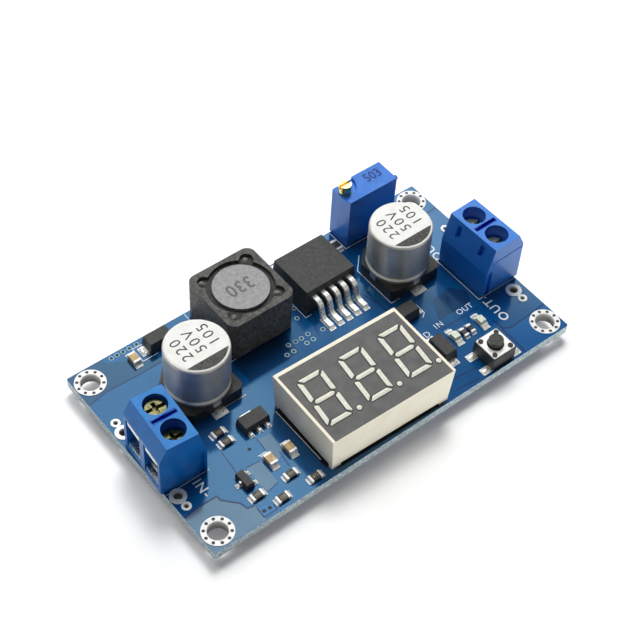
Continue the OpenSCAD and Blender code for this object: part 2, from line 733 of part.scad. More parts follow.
// Wire clamp that hangs under the tip of the screw
module terminal_clamp(turns) {
    clamp_top = head_low_z + turns * screw_pitch - shank_l - run_gap;
    clamp_w = contact_w - 0.6;
    back_x = -chamber_back + 0.3 + contact_t + run_gap;
    lip_h = 0.5;
    translate([0, 0, clamp_top - clamp_t]) {
        translate([back_x, -clamp_w / 2, 0])
            cube([contact_front_x - contact_t - back_x, clamp_w, clamp_t]);
        translate([contact_front_x - 2 * contact_t, -clamp_w / 2, clamp_t - eps])
            cube([contact_t, clamp_w, lip_h]);
    }
}

// A piece of one pole of the input terminal
module on_input_pole(y) {
    on_terminal(input_terminal_at, input_angle) translate([0, y, 0]) children();
}

// A piece of one pole of the output terminal
module on_output_pole(y) {
    on_terminal(output_terminal_at, output_angle) translate([0, y, 0]) children();
}

module input_terminal_housing() {
    color("dodgerblue") on_terminal(input_terminal_at, input_angle) terminal_housing();
}

module input_terminal_contacts() {
    color("silver") on_terminal(input_terminal_at, input_angle) terminal_contacts();
}

module input_screw_front() {
    color("darkkhaki") on_input_pole(input_front_y) terminal_screw(input_front_turns);
}

module input_screw_back() {
    color("darkkhaki") on_input_pole(-input_front_y) terminal_screw(input_back_turns);
}

module input_clamp_front() {
    color("lightgray") on_input_pole(input_front_y) terminal_clamp(input_front_turns);
}

module input_clamp_back() {
    color("lightgray") on_input_pole(-input_front_y) terminal_clamp(input_back_turns);
}

module output_terminal_housing() {
    color("royalblue") on_terminal(output_terminal_at, output_angle) terminal_housing();
}

module output_terminal_contacts() {
    color("silver") on_terminal(output_terminal_at, output_angle) terminal_contacts();
}

module output_screw_front() {
    color("darkkhaki") on_output_pole(output_front_y) terminal_screw(output_turns);
}

module output_screw_back() {
    color("darkkhaki") on_output_pole(-output_front_y) terminal_screw(output_turns);
}

module output_clamp_front() {
    color("lightgray") on_output_pole(output_front_y) terminal_clamp(output_turns);
}

module output_clamp_back() {
    color("lightgray") on_output_pole(-output_front_y) terminal_clamp(output_turns);
}

// Capacitors

module on_pads(at) {
    translate([at.x, at.y, seat]) children();
}

// Base with raised corners that hug the can, and channels for the leads
module capacitor_base() {
    half = cap_base_w / 2;
    difference() {
        linear_extrude(cap_base_h + cap_post_h)
            polygon([[-half, cap_front_chamfer - half], [cap_front_chamfer - half, -half],
                [half - cap_front_chamfer, -half], [half, cap_front_chamfer - half],
                [half, half - cap_chamfer],
                [half - cap_chamfer, half], [-half + cap_chamfer, half], [-half, half - cap_chamfer]]);
        translate([0, 0, cap_base_h]) cylinder(d = cap_d + 2 * cap_seat_slack, h = cap_post_h + 1);
        translate([0, 0, -eps]) block([cap_lead_w, cap_base_w + 1, cap_lead_t + eps]);
    }
}

// Drawn can with a crimped groove and a rounded rim
module capacitor_can() {
    r = cap_d / 2;
    groove_half = 0.45;
    z0 = cap_base_h;
    groove_z = z0 + cap_groove_z;
    rotate_extrude() difference() {
        union() {
            translate([0, z0]) square([r, cap_h - z0 - cap_rim_r]);
            translate([0, z0]) square([r - cap_rim_r, cap_h - z0]);
            translate([r - cap_rim_r, cap_h - cap_rim_r]) circle(cap_rim_r);
        }
        polygon([[r + eps, groove_z - groove_half], [r - cap_groove, groove_z - groove_half * 0.4],
            [r - cap_groove, groove_z + groove_half * 0.4], [r + eps, groove_z + groove_half]]);
    }
}

// Flat leads that run out of the base to the front and the back
module capacitor_leads() {
    inner_y = 1.5;
    lead_l = cap_base_w / 2 + cap_lead_out - inner_y;
    for (s = [-1, 1])
        translate([0, s * (inner_y + lead_l / 2), 0]) block([cap_lead_w, lead_l, cap_lead_t]);
}

module input_capacitor_base() {
    color("#202020") on_pads(input_cap_at) capacitor_base();
}

module input_capacitor_can() {
    color("gainsboro") on_pads(input_cap_at) capacitor_can();
}

module input_capacitor_leads() {
    color("silver") on_pads(input_cap_at) capacitor_leads();
}

module output_capacitor_base() {
    color("#202020") on_pads(output_cap_at) capacitor_base();
}

module output_capacitor_can() {
    color("gainsboro") on_pads(output_cap_at) capacitor_can();
}

module output_capacitor_leads() {
    color("silver") on_pads(output_cap_at) capacitor_leads();
}

// Coil

// Square ferrite ring with a round opening and four glue pockets
module coil_shield() {
    color("dimgray") on_pads(coil_at) difference() {
        translate([0, 0, coil_terminal_t])
            round_plate(coil_w, coil_w, coil_corner_r, coil_h - coil_terminal_t);
        cylinder(d = coil_bore_d, h = coil_h + 1);
        for (sx = [-1, 1], sy = [-1, 1])
            translate([sx * pocket_at, sy * pocket_at, coil_h - 2 * glue_sink])
                cylinder(d = pocket_d, h = 2 * glue_sink + 1);
    }
}

// Drum core with a neck between two flanges
module coil_core() {
    foot_d = coil_bore_d - 2 * winding_slack;
    color("gray") on_pads(coil_at) translate([0, 0, coil_terminal_t]) {
        cylinder(d = foot_d, h = drum_flange);
        cylinder(d = drum_neck_d, h = coil_h - coil_terminal_t - eps);
        translate([0, 0, coil_h - coil_terminal_t - drum_flange]) cylinder(d = drum_d, h = drum_flange);
    }
}

module coil_winding() {
    z0 = coil_terminal_t + drum_flange;
    color("peru") on_pads(coil_at) translate([0, 0, z0])
        flat_ring(drum_d - 2 * winding_slack, drum_neck_d, coil_h - drum_flange - z0);
}

// Glue that holds the drum in its shield: a ring with four blobs in the pockets
module coil_glue() {
    ring_h = drum_flange - glue_sink;
    color("darkslategray") on_pads(coil_at) {
        translate([0, 0, coil_h - glue_sink - ring_h]) flat_ring(coil_bore_d, drum_d, ring_h);
        for (sx = [-1, 1], sy = [-1, 1]) difference() {
            translate([sx * pocket_at, sy * pocket_at, coil_h - 2 * glue_sink])
                cylinder(d = pocket_d, h = glue_sink);
            cylinder(d = coil_bore_d, h = coil_h);
        }
    }
}

module coil_terminals() {
    color("silver") on_pads(coil_at)
        for (s = [-1, 1])
            translate([s * (coil_w / 2 * 0.8), 0, 0])
                block([coil_w / 2 * 0.4, coil_terminal_w, coil_terminal_t]);
}

// Regulator

module regulator_body() {
    color("#404240") on_pads(reg_at) difference() {
        draft_block([reg_w, reg_l], [reg_w - reg_draft, reg_l - reg_draft], reg_h);
        tab_shape();
        for (x = row(reg_lead_count, reg_pitch))
            translate([x, reg_front_y, reg_lead_z - reg_lead_t / 2])
                block([reg_lead_w, 2 * reg_lead_in, reg_lead_t]);
    }
}

// Copper plate under the body that stands out at the back
module tab_shape() {
    translate([0, reg_l / 2 + (reg_tab_out - reg_tab_in) / 2, 0])
        block([reg_tab_w, reg_tab_in + reg_tab_out, reg_tab_t]);
}

module regulator_tab() {
    color("silver") on_pads(reg_at) tab_shape();
}

module regulator_leads() {
    color("silver") on_pads(reg_at)
        for (x = row(reg_lead_count, reg_pitch)) translate([x, reg_front_y, 0]) {
            rotate(-90) gull_lead(reg_lead_z, reg_lead_t, reg_lead_w,
                reg_lead_straight, reg_lead_drop, reg_lead_foot);
            translate([0, reg_lead_in / 2 - eps, reg_lead_z - reg_lead_t / 2])
                block([reg_lead_w, reg_lead_in + 2 * eps, reg_lead_t]);
        }
}

// Trimmer

module on_trimmer() {
    translate([trim_at.x, trim_at.y, top]) children();
}

// Sealed body with a round step beside the adjusting screw
module trimmer_housing() {
    corner = [-trim_l / 2, trim_w / 2];
    color("royalblue") on_trimmer() difference() {
        union() {
            translate([0, 0, trim_feet]) block([trim_l, trim_w, trim_h - trim_feet]);
            for (s = [-1, 1])
                translate([s * (trim_l - 0.8) / 2, 0, 0]) block([0.8, trim_w, trim_feet + eps]);
            translate([trim_l / 2 - eps, -trim_w / 2 + 0.6, trim_h - 0.5]) rotate([0, 90, 0])
                cylinder(d = 0.8, h = 0.4);
        }
        translate([corner.x, corner.y, trim_h - trim_step_h]) cylinder(r = trim_step_r, h = trim_h);
        translate([trim_screw_xy.x, trim_screw_xy.y, trim_h - trim_step_h - trim_shank_l - run_gap])
            cylinder(d = trim_shank_d + 2 * run_gap, h = trim_h);
        for (x = row(3, trim_pin_pitch))
            translate([x, 0, 0]) cylinder(d = trim_pin_d, h = trim_pin_in);
    }
}

// Slotted adjusting screw
module trimmer_screw() {
    step_z = trim_h - trim_step_h;
    color("gold") on_trimmer() translate([trim_screw_xy.x, trim_screw_xy.y, 0]) difference() {
        union() {
            translate([0, 0, step_z + run_gap]) cylinder(d = trim_head_d, h = trim_head_h);
            translate([0, 0, step_z - trim_shank_l]) cylinder(d = trim_shank_d, h = trim_shank_l + 0.5);
        }
        translate([0, 0, step_z + trim_head_h - 0.6]) block([trim_head_d + 1, 0.5, 2]);
    }
}

module trimmer_pins() {
    color("silver") on_trimmer()
        for (x = row(3, trim_pin_pitch))
            translate([x, 0, -board_t - pin_tail])
                cylinder(d = trim_pin_d, h = board_t + pin_tail + trim_pin_in);
}

// Display

module on_display() {
    translate([disp_at.x, disp_at.y, top]) rotate(disp_turn) children();
}

// A point of a digit, leaned to the right
function leaned(p) = [p.x + p.y * tan(digit_lean), p.y];

// Corner points of the seven segments of a digit about its centre
function segment_outlines(w, h, t, m) = let (x = w / 2, y = h / 2) [
    [[-x + m, y], [x - m, y], [x - t - m, y - t], [-x + t + m, y - t]],
    [[x, y - m], [x, m], [x - t, t / 2 + m], [x - t, y - t - m]],
    [[x, -m], [x, -y + m], [x - t, -y + t + m], [x - t, -t / 2 - m]],
    [[x - m, -y], [-x + m, -y], [-x + t + m, -y + t], [x - t - m, -y + t]],
    [[-x, -y + m], [-x, -m], [-x + t, -t / 2 - m], [-x + t, -y + t + m]],
    [[-x, m], [-x, y - m], [-x + t, y - t - m], [-x + t, t / 2 + m]],
    [[-x + t / 2 + m, 0], [-x + t + m, t / 2], [x - t - m, t / 2],
     [x - t / 2 - m, 0], [x - t - m, -t / 2], [-x + t + m, -t / 2]]
];

// Light pipes of all digits and points, as flat shapes pulled to a height
module segment_bars(h) {
    dot_x = digit_w / 2 + (digit_pitch - digit_w) * 0.39;
    for (x = row(disp_digits, digit_pitch)) translate([x, -digit_drop, 0]) {
        for (outline = segment_outlines(digit_w, digit_h, segment_w, segment_gap))
            linear_extrude(h) polygon([for (p = outline) leaned(p)]);
        translate([dot_x - digit_h / 2 * tan(digit_lean), -digit_h / 2 + dot_d * 0.3, 0])
            cylinder(d = dot_d, h = h);
    }
}

// Hollow housing with leaning walls, corner feet and a window for every segment
module display_housing() {
    color("ivory") on_display() {
        difference() {
            translate([0, 0, disp_gap])
                draft_block([disp_foot_w, disp_foot_d], [disp_w, disp_d], disp_h - disp_gap);
            block([disp_inner_w, disp_inner_d, disp_h - disp_face_t]);
            translate([0, 0, disp_h - disp_face_t - eps]) segment_bars(disp_face_t + 1);
        }
        for (sx = [-1, 1], sy = [-1, 1])
            translate([sx * (disp_foot_w - disp_foot) / 2, sy * (disp_foot_d - disp_wall) / 2, 0])
                block([disp_foot, disp_wall, disp_gap + eps]);
    }
}

module display_segments() {
    color("beige") on_display() translate([0, 0, disp_h - disp_face_t]) segment_bars(disp_face_t);
}

// Resin that closes the housing from below and holds the pins
module display_resin() {
    color("burlywood") on_display() translate([0, 0, disp_hollow]) difference() {
        block([disp_inner_w, disp_inner_d, disp_h - disp_face_t - disp_hollow]);
        for (p = display_pin_local)
            translate([p.x, p.y, -eps]) cylinder(d = disp_pin_d, h = disp_pin_in + eps);
    }
}

module display_pins() {
    color("silver") on_display()
        for (p = display_pin_local)
            translate([p.x, p.y, -board_t - pin_tail])
                cylinder(d = disp_pin_d, h = board_t + pin_tail + disp_hollow + disp_pin_in);
}

// Push button

module button_base() {
    color("#1c1c1c") on_pads(button_at) {
        difference() {
            block([button_w, button_w, cover_under]);
            translate([0, 0, button_floor])
                cylinder(d = plunger_collar_d + 4 * run_gap, h = button_h);
            for (sy = [-1, 1])
                translate([0, sy * button_leg_y, -eps]) block([button_w + 1, leg_w, leg_t + eps]);
        }
        for (sx = [-1, 1], sy = [-1, 1])
            translate([sx * rivet_at, sy * rivet_at, cover_under - eps])
                cylinder(d = rivet_d, h = button_cover_t + rivet_h + eps);
    }
}

// Steel cover plate with a hole for the plunger and four for the rivets
module button_cover() {
    color("gainsboro") on_pads(button_at) translate([0, 0, cover_under]) difference() {
        round_plate(button_w - 0.2, button_w - 0.2, 0.3, button_cover_t);
        translate([0, 0, -eps]) cylinder(d = cover_hole_d, h = button_cover_t + 2 * eps);
        for (sx = [-1, 1], sy = [-1, 1])
            translate([sx * rivet_at, sy * rivet_at, -eps])
                cylinder(d = rivet_d, h = button_cover_t + 2 * eps);
    }
}

// Plunger with the collar that keeps it under the cover
module button_plunger() {
    color("#262626") on_pads(button_at) {
        translate([0, 0, plunger_foot_z]) cylinder(d = plunger_collar_d, h = collar_h);
        translate([0, 0, plunger_foot_z + collar_h - eps])
            cylinder(d = plunger_d, h = button_h + plunger_out - plunger_foot_z - collar_h + eps);
    }
}

// Spring dome that pushes the plunger back
module button_dome() {
    color("silver") on_pads(button_at) translate([0, 0, button_floor])
        rotate_extrude()
            polygon([[0, dome_rise - dome_t], [dome_d / 4, dome_rise - dome_t], [dome_d / 2 - dome_t, 0],
                [dome_d / 2, 0], [dome_d / 4 + dome_t, dome_rise], [0, dome_rise]]);
}

// Four flat legs that come out of the base on both sides
module button_terminals() {
    leg_l = button_w / 2 + 0.9;
    color("silver") on_pads(button_at)
        for (sx = [-1, 1], sy = [-1, 1])
            translate([sx * (leg_l / 2 + 0.2), sy * button_leg_y, 0]) block([leg_l - 0.4, leg_w, leg_t]);
}

// Indicator lamps

module lamp_bases() {
    color("ivory")
        for (p = [input_lamp_at, output_lamp_at])
            on_pads(p) block([lamp_w, lamp_l, lamp_base_h]);
}

module lamp_lenses() {
    color("honeydew")
        for (p = [input_lamp_at, output_lamp_at])
            on_pads(p) translate([0, 0, lamp_base_h])
                draft_block([lamp_w, lamp_l * 0.68], [lamp_w * 0.9, lamp_l * 0.6], lamp_lens_h);
}

// Chips

// Body of a chip between its two metal ends
module chip_body(l, w, h) {
    block([l - 2 * chip_end, w, h]);
}

// Metal ends of a chip
module chip_ends(l, w, h) {
    for (s = [-1, 1]) translate([s * (l - chip_end) / 2, 0, 0]) block([chip_end, w, h]);
}

// Puts a part on its pads at x, y with a turn
module placed(p) {
    translate([p.x, p.y, seat]) rotate(p.z) children();
}

module chip_resistors() {
    color("#2c2a28") {
        for (p = resistor_places) placed(p) chip_body(res_l, res_w, res_h);
        for (p = lamp_resistor_places) placed(p) chip_body(lamp_res.x, lamp_res.y, lamp_res.z);
    }
}

module chip_resistor_ends() {
    color("silver") {
        for (p = resistor_places) placed(p) chip_ends(res_l, res_w, res_h);
        for (p = lamp_resistor_places) placed(p) chip_ends(lamp_res.x, lamp_res.y, lamp_res.z);
    }
}

module chip_capacitors() {
    color("tan") for (p = mlcc_places) placed(p) chip_body(mlcc_l, mlcc_w, mlcc_h);
}

module chip_capacitor_ends() {
    color("silver") for (p = mlcc_places) placed(p) chip_ends(mlcc_l, mlcc_w, mlcc_h);
}

// Three-lead regulator with a tab at the back
module small_regulator_body() {
    color("#303030") placed([small_regulator_at.x, small_regulator_at.y, 0]) difference() {
        draft_block([small_reg.x, small_reg.y], [small_reg.x - 0.3, small_reg.y - 0.3], small_reg.z);
        small_regulator_strips();
    }
}

module small_regulator_strips() {
    in_y = 0.6;
    for (x = row(3, small_reg_pitch))
        translate([x, -(small_reg.y / 2 + lead_out + in_y) / 2, 0])
            block([0.5, small_reg.y / 2 + lead_out - in_y, small_lead_t]);
    translate([0, (small_reg.y / 2 + lead_out + in_y) / 2, 0])
        block([1.7, small_reg.y / 2 + lead_out - in_y, small_lead_t]);
}

module small_regulator_leads() {
    color("silver") placed([small_regulator_at.x, small_regulator_at.y, 0]) small_regulator_strips();
}

// Transistor with two leads on one side and one on the other
module transistor_body() {
    color("#303030") placed([transistor_at.x, transistor_at.y, 90]) translate([0, 0, 0.1])
        draft_block([trans.x, trans.y], [trans.x - 0.2, trans.y - 0.2], trans.z);
}

module transistor_leads() {
    lead_z = 0.6;
    color("silver") placed([transistor_at.x, transistor_at.y, 0]) {
        for (s = [-1, 1])
            translate([trans.y / 2 - 0.05, s * 0.95, 0]) small_gull(lead_z, trans_lead_t, 0.4);
        translate([-trans.y / 2 + 0.05, 0, 0]) rotate(180) small_gull(lead_z, trans_lead_t, 0.4);
    }
}

// Short bent lead of a small body
module small_gull(z, t, w) {
    gull_lead(z, t, w, lead_out * 0.35, lead_out * 0.2, lead_out * 0.45);
}

module diode_bodies() {
    color("#2a2a2a") for (p = diode_places) placed(p) difference() {
        translate([0, 0, 0.1])
            draft_block([diode_l, diode_w], [diode_l - 0.4, diode_w - 0.4], diode_h - 0.1);
        diode_strips();
    }
}

// Flat leads under both ends of a diode
module diode_strips() {
    in_x = 1.2;
    lead_l = diode_l / 2 + lead_out - in_x;
    for (s = [-1, 1])
        translate([s * (in_x + lead_l / 2), 0, 0]) block([lead_l, diode_lead_w, diode_lead_t]);
}

module diode_leads() {
    color("silver") for (p = diode_places) placed(p) diode_strips();
}

// Controller that drives the display, in the hollow under it
module controller_body() {
    color("#262626") on_pads(controller_at) translate([0, 0, 0.1]) block(controller);
}

module controller_leads() {
    lead_z = 0.5;
    color("silver") on_pads(controller_at)
        for (s = [-1, 1], x = row(controller_pins, controller_pitch))
            translate([x, s * controller.y / 2, 0])
                rotate(s * 90) small_gull(lead_z, controller_lead_t, 0.25);
}

circuit_board();
mounting_rings();
wire_hole_rings();
solder_pads();
solder_joints();
input_terminal_housing();
input_terminal_contacts();
input_screw_front();
input_screw_back();
input_clamp_front();
input_clamp_back();
output_terminal_housing();
output_terminal_contacts();
output_screw_front();
output_screw_back();
output_clamp_front();
output_clamp_back();
input_capacitor_base();
input_capacitor_can();
input_capacitor_leads();
output_capacitor_base();
output_capacitor_can();
output_capacitor_leads();
coil_shield();
coil_core();
coil_winding();
coil_glue();
coil_terminals();
regulator_body();
regulator_tab();
regulator_leads();
trimmer_housing();
trimmer_screw();
trimmer_pins();
display_housing();
display_segments();
display_resin();
display_pins();
button_base();
button_cover();
button_plunger();
button_dome();
button_terminals();
lamp_bases();
lamp_lenses();
chip_resistors();
chip_resistor_ends();
chip_capacitors();
chip_capacitor_ends();
small_regulator_body();
small_regulator_leads();
transistor_body();
transistor_leads();
diode_bodies();
diode_leads();
controller_body();
controller_leads();
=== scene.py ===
# Look of the boost converter module: finishes, print, solder, lamps and camera.
import math
import random

import bmesh
import bpy
from mathutils import Matrix, Vector


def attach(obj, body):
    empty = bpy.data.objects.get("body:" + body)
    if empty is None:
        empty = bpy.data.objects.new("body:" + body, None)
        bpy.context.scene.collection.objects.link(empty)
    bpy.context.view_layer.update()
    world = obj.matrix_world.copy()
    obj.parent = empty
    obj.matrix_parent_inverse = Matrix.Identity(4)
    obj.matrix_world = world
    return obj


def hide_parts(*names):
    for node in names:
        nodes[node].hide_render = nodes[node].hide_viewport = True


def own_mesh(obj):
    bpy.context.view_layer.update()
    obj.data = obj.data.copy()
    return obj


MM = 0.001
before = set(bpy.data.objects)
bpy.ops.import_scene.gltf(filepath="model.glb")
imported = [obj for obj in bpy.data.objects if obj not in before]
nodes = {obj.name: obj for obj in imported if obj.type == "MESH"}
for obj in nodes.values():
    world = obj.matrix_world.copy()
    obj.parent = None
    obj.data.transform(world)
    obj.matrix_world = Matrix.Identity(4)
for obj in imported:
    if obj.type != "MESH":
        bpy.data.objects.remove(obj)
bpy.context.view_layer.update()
scene = bpy.context.scene
rnd = random.Random(7)

# Heights in mm above the underside of the board
TOP = 1.6               # upper face of the board
SEAT = 1.7              # upper face of its pads
UNDER = -0.1            # lower face of the pads below
CAN_TOP = 12.0
COIL_TOP = 9.6
COIL_POCKET = 9.09
TRIMMER_TOP = 11.6
FLOOR = -1.6            # tips of the pins
AREA_Z = TOP + 0.003    # layers on the board, in the order they cover each other
GAP_Z = TOP + 0.006
FOOT_Z = TOP + 0.007
VIA_HOLE_Z = TOP + 0.008
VIA_RING_Z = TOP + 0.009
PRINT_LIFT = 0.012
PRINT_Z = TOP + PRINT_LIFT
CHIP_PRINT_Z = SEAT + 0.46

# Places in mm, seen from above
MOUNTS = [(x, y) for x in (-31.5, 31.5) for y in (-16, 16)]
CAPACITORS = {"input": (-19.35, 5.65), "output": (19.8, 6.2)}
COIL = (-6.55, 12.55)
TRIMMER_TEXT = (23.3, 17.3)
BUTTON = (20.5, -16.0)
DISP_C = (-1.447, -11.0555)
DISP_TURN = -1.5        # degrees
DISP_HALF = (11.25, 7.2)

# Chips by kind: place and turn in degrees
RES = [(-21.8, -2.85, 0), (-21.8, -4.75, 0), (-23.7, -14.775, 0), (-17.745, -14.775, 0),
       (-15.2, -17.225, 0), (-21.05, -17.225, 0), (15.1, 15.55, 90)]
RES_VALUES = ("103", "103", "102", "104", "472", "103")
LAMP_RES = [(19.65, -10.25, 90), (21.0, -10.25, 90)]
MLCC = [(-18.65, -11.2, 90), (-15.2, -11.2, 90), (-23.95, 15.55, 90)]
LAMPS = [(18.0, -10.05, 90), (23.3, -10.05, 90)]
DIODES = [(-19.2, 16.2, 0), (14.3, -2.3, 0), (14.5, -10.9, 90)]

WHITE = (1, 1, 1, 1)


# Colours and finishes

def lin(c):
    """sRGB 0 to 255 as a linear colour."""
    out = []
    for v in c:
        v = v / 255
        out.append(v / 12.92 if v <= 0.04045 else ((v + 0.055) / 1.055) ** 2.4)
    return (*out, 1.0)


class Graph:
    """Node tree of a material or a world, built up by small calls."""

    def __init__(self, owner):
        owner.use_nodes = True
        self.tree = owner.node_tree

    def feed(self, n, key, value):
        """Links an output to an input of a node, or sets the input to a value."""
        if isinstance(value, bpy.types.NodeSocket):
            self.tree.links.new(value, n.inputs[key])
        else:
            n.inputs[key].default_value = value

    def node(self, kind, inputs, **values):
        """Outputs of a new node."""
        n = self.tree.nodes.new(kind)
        for key, value in values.items():
            setattr(n, key, value)
        for key, value in inputs.items():
            self.feed(n, key, value)
        return n.outputs

    def split(self, vector):
        return self.node("ShaderNodeSeparateXYZ", {"Vector": vector})

    def calc(self, operation, *values):
        return self.node("ShaderNodeMath", dict(enumerate(values)), operation=operation)["Value"]

    def span(self, value, start, end, low=0.0, high=1.0):
        """Level that runs from low to high while the value runs from start to end."""
        return self.node("ShaderNodeMapRange", {"Value": value, "From Min": start, "From Max": end,
                                                "To Min": low, "To Max": high})["Result"]

    def glow(self, strength):
        return self.node("ShaderNodeEmission", {"Strength": strength})["Emission"]

    def either(self, choice, a, b):
        """Shader a where the choice is 0 and b where it is 1."""
        return self.node("ShaderNodeMixShader", {"Fac": choice, 1: a, 2: b})["Shader"]


class Finish(Graph):
    """Material with a principled shader."""

    SOCKETS = {"metal": "Metallic", "spec": "Specular IOR Level", "coat": "Coat Weight",
               "tint": "Specular Tint"}
    GRAIN = 0.55                # roughness of the noise
    COLOUR_STOPS = (0.35, 0.65)
    GLOSS_STOPS = (0.3, 0.7)
    RELIEF_DETAIL = 2.0

    def __init__(self, name, **values):
        self.mat = bpy.data.materials.new(name)
        super().__init__(self.mat)
        self.bsdf = self.tree.nodes["Principled BSDF"]
        self.coords = self.node("ShaderNodeTexCoord", {})
        for key, value in values.items():
            self.feed(self.bsdf, self.SOCKETS[key], value)

    def noise(self, size_mm, detail=3.0):
        return self.node("ShaderNodeTexNoise", {
            "Scale": 1 / (size_mm * MM), "Detail": detail, "Roughness": self.GRAIN,
            "Vector": self.coords["Object"]})["Fac"]

    def ramp(self, fac, *stops):
        """Colour ramp through stops, each a position and an sRGB colour."""
        r = self.tree.nodes.new("ShaderNodeValToRGB")
        e = r.color_ramp.elements
        while len(e) < len(stops):
            e.new(0.5)
        for i, (position, colour) in enumerate(stops):
            e[i].position = position
            e[i].color = lin(colour)
        self.feed(r, "Fac", fac)
        return r.outputs["Color"]

    def grain(self, a, b, size_mm, detail=3.0):
        """Colour that wanders between two close ones."""
        return self.ramp(self.noise(size_mm, detail), *zip(self.COLOUR_STOPS, (a, b)))

    def base(self, colour):
        self.feed(self.bsdf, "Base Color", colour)
        return self

    def base_mix(self, choice, a, b):
        """Base colour a where the choice is 0 and b where it is 1."""
        mix = self.node("ShaderNodeMix", {"Factor": choice, "A": a, "B": b}, data_type="RGBA")
        return self.base(mix["Result"])

    def gloss(self, low, high, size_mm):
        """Roughness that wanders between two levels."""
        self.feed(self.bsdf, "Roughness", self.span(self.noise(size_mm), *self.GLOSS_STOPS, low, high))
        return self

    def raised(self, height, deep_mm, strength):
        bump = self.node("ShaderNodeBump", {"Strength": strength, "Distance": deep_mm * MM,
                                            "Height": height})
        self.feed(self.bsdf, "Normal", bump["Normal"])
        return self

    def relief(self, size_mm, deep_mm, strength=0.6):
        return self.raised(self.noise(size_mm, self.RELIEF_DETAIL), deep_mm, strength)


# Shader values that several finishes share
MASK = {"spec": 1.0, "tint": (0.34, 0.67, 0.9, 1.0)}
MASK_GLOSS = (0.1, 0.14)
PALE_SHEEN = (0.75, 1.0, 1.0, 1.0)
TEAL_SHEEN = (0.5, 0.95, 1.0, 1.0)


def board_finish():
    """Glossy blue mask on both faces, pale glass cloth on the cut edge."""
    f = Finish("board_blue", **MASK)
    mask = f.grain((2, 64, 118), (5, 74, 130), size_mm=9.0, detail=2.0)
    glass = f.ramp(f.noise(size_mm=0.35, detail=4.0), (0.3, (120, 140, 148)), (0.55, (188, 202, 206)),
                   (0.75, (226, 234, 234)))
    upright = f.calc("ABSOLUTE", f.split(f.coords["Normal"])["Z"])
    f.base_mix(f.calc("GREATER_THAN", upright, 0.5), glass, mask)
    return f.gloss(*MASK_GLOSS, size_mm=4.0).relief(size_mm=0.9, deep_mm=0.004, strength=0.2).mat


def display_finish():
    """Ivory housing whose face is printed grey inside a narrow rim."""
    half_x, half_y = DISP_HALF
    rim, front_rim = 0.45, 0.06
    f = Finish("display_ivory", spec=0.18)
    ivory = f.grain((247, 240, 219), (252, 247, 228), size_mm=2.5)
    grey = f.ramp(f.noise(size_mm=1.6), (0.3, (95, 95, 95)), (0.7, (110, 110, 109)))
    local = f.node("ShaderNodeMapping", {
        "Vector": f.coords["Object"], "Location": (DISP_C[0] * MM, DISP_C[1] * MM, 0),
        "Rotation": (0, 0, math.radians(DISP_TURN))}, vector_type="TEXTURE")
    place = f.split(local["Vector"])
    printed = f.calc("GREATER_THAN", f.split(f.coords["Normal"])["Z"], 0.7)
    for test in (f.calc("LESS_THAN", f.calc("ABSOLUTE", place["X"]), (half_x - rim) * MM),
                 f.calc("LESS_THAN", place["Y"], (half_y - rim) * MM),
                 f.calc("GREATER_THAN", place["Y"], (front_rim - half_y) * MM)):
        printed = f.calc("MULTIPLY", printed, test)
    f.base_mix(printed, ivory, grey).gloss(low=0.3, high=0.42, size_mm=1.2)
    return f.relief(size_mm=0.4, deep_mm=0.004, strength=0.4).mat


def barrel_finish(name, low, mid, rim):
    """Plated hole wall, painted darker with depth as the shade inside the hole, brightest at the rim."""
    f = Finish(name, metal=0.3, spec=0.3)
    height = f.span(f.split(f.coords["Object"])["Z"], UNDER * MM, SEAT * MM)
    f.base(f.ramp(height, (0.0, low), (0.6, mid), (1.0, rim)))
    return f.gloss(low=0.35, high=0.5, size_mm=0.5).relief(size_mm=0.3, deep_mm=0.006).mat


def can_finish():
    """Drawn aluminium with faint upright lines."""
    f = Finish("can_aluminium", metal=0.75)
    f.base(f.grain((191, 189, 183), (207, 205, 199), size_mm=3.0))
    f.gloss(low=0.36, high=0.44, size_mm=1.5)
    drawn = f.node("ShaderNodeMapping", {"Vector": f.coords["Object"], "Scale": (1, 1, 0.04)})
    lines = f.node("ShaderNodeTexNoise", {"Vector": drawn["Vector"], "Scale": 5000})
    return f.raised(lines["Fac"], deep_mm=0.01, strength=0.08).mat


M = {
    "board_blue": board_finish(),
    "display_ivory": display_finish(),
    # The narrow wire holes are painted darker, as deeper shade.
    "hole_barrel": barrel_finish("hole_barrel", (150, 149, 145), (196, 195, 191), (236, 235, 231)),
    "wire_barrel": barrel_finish("wire_barrel", (70, 69, 66), (106, 105, 101), (180, 179, 174)),
    "can_aluminium": can_finish(),
}

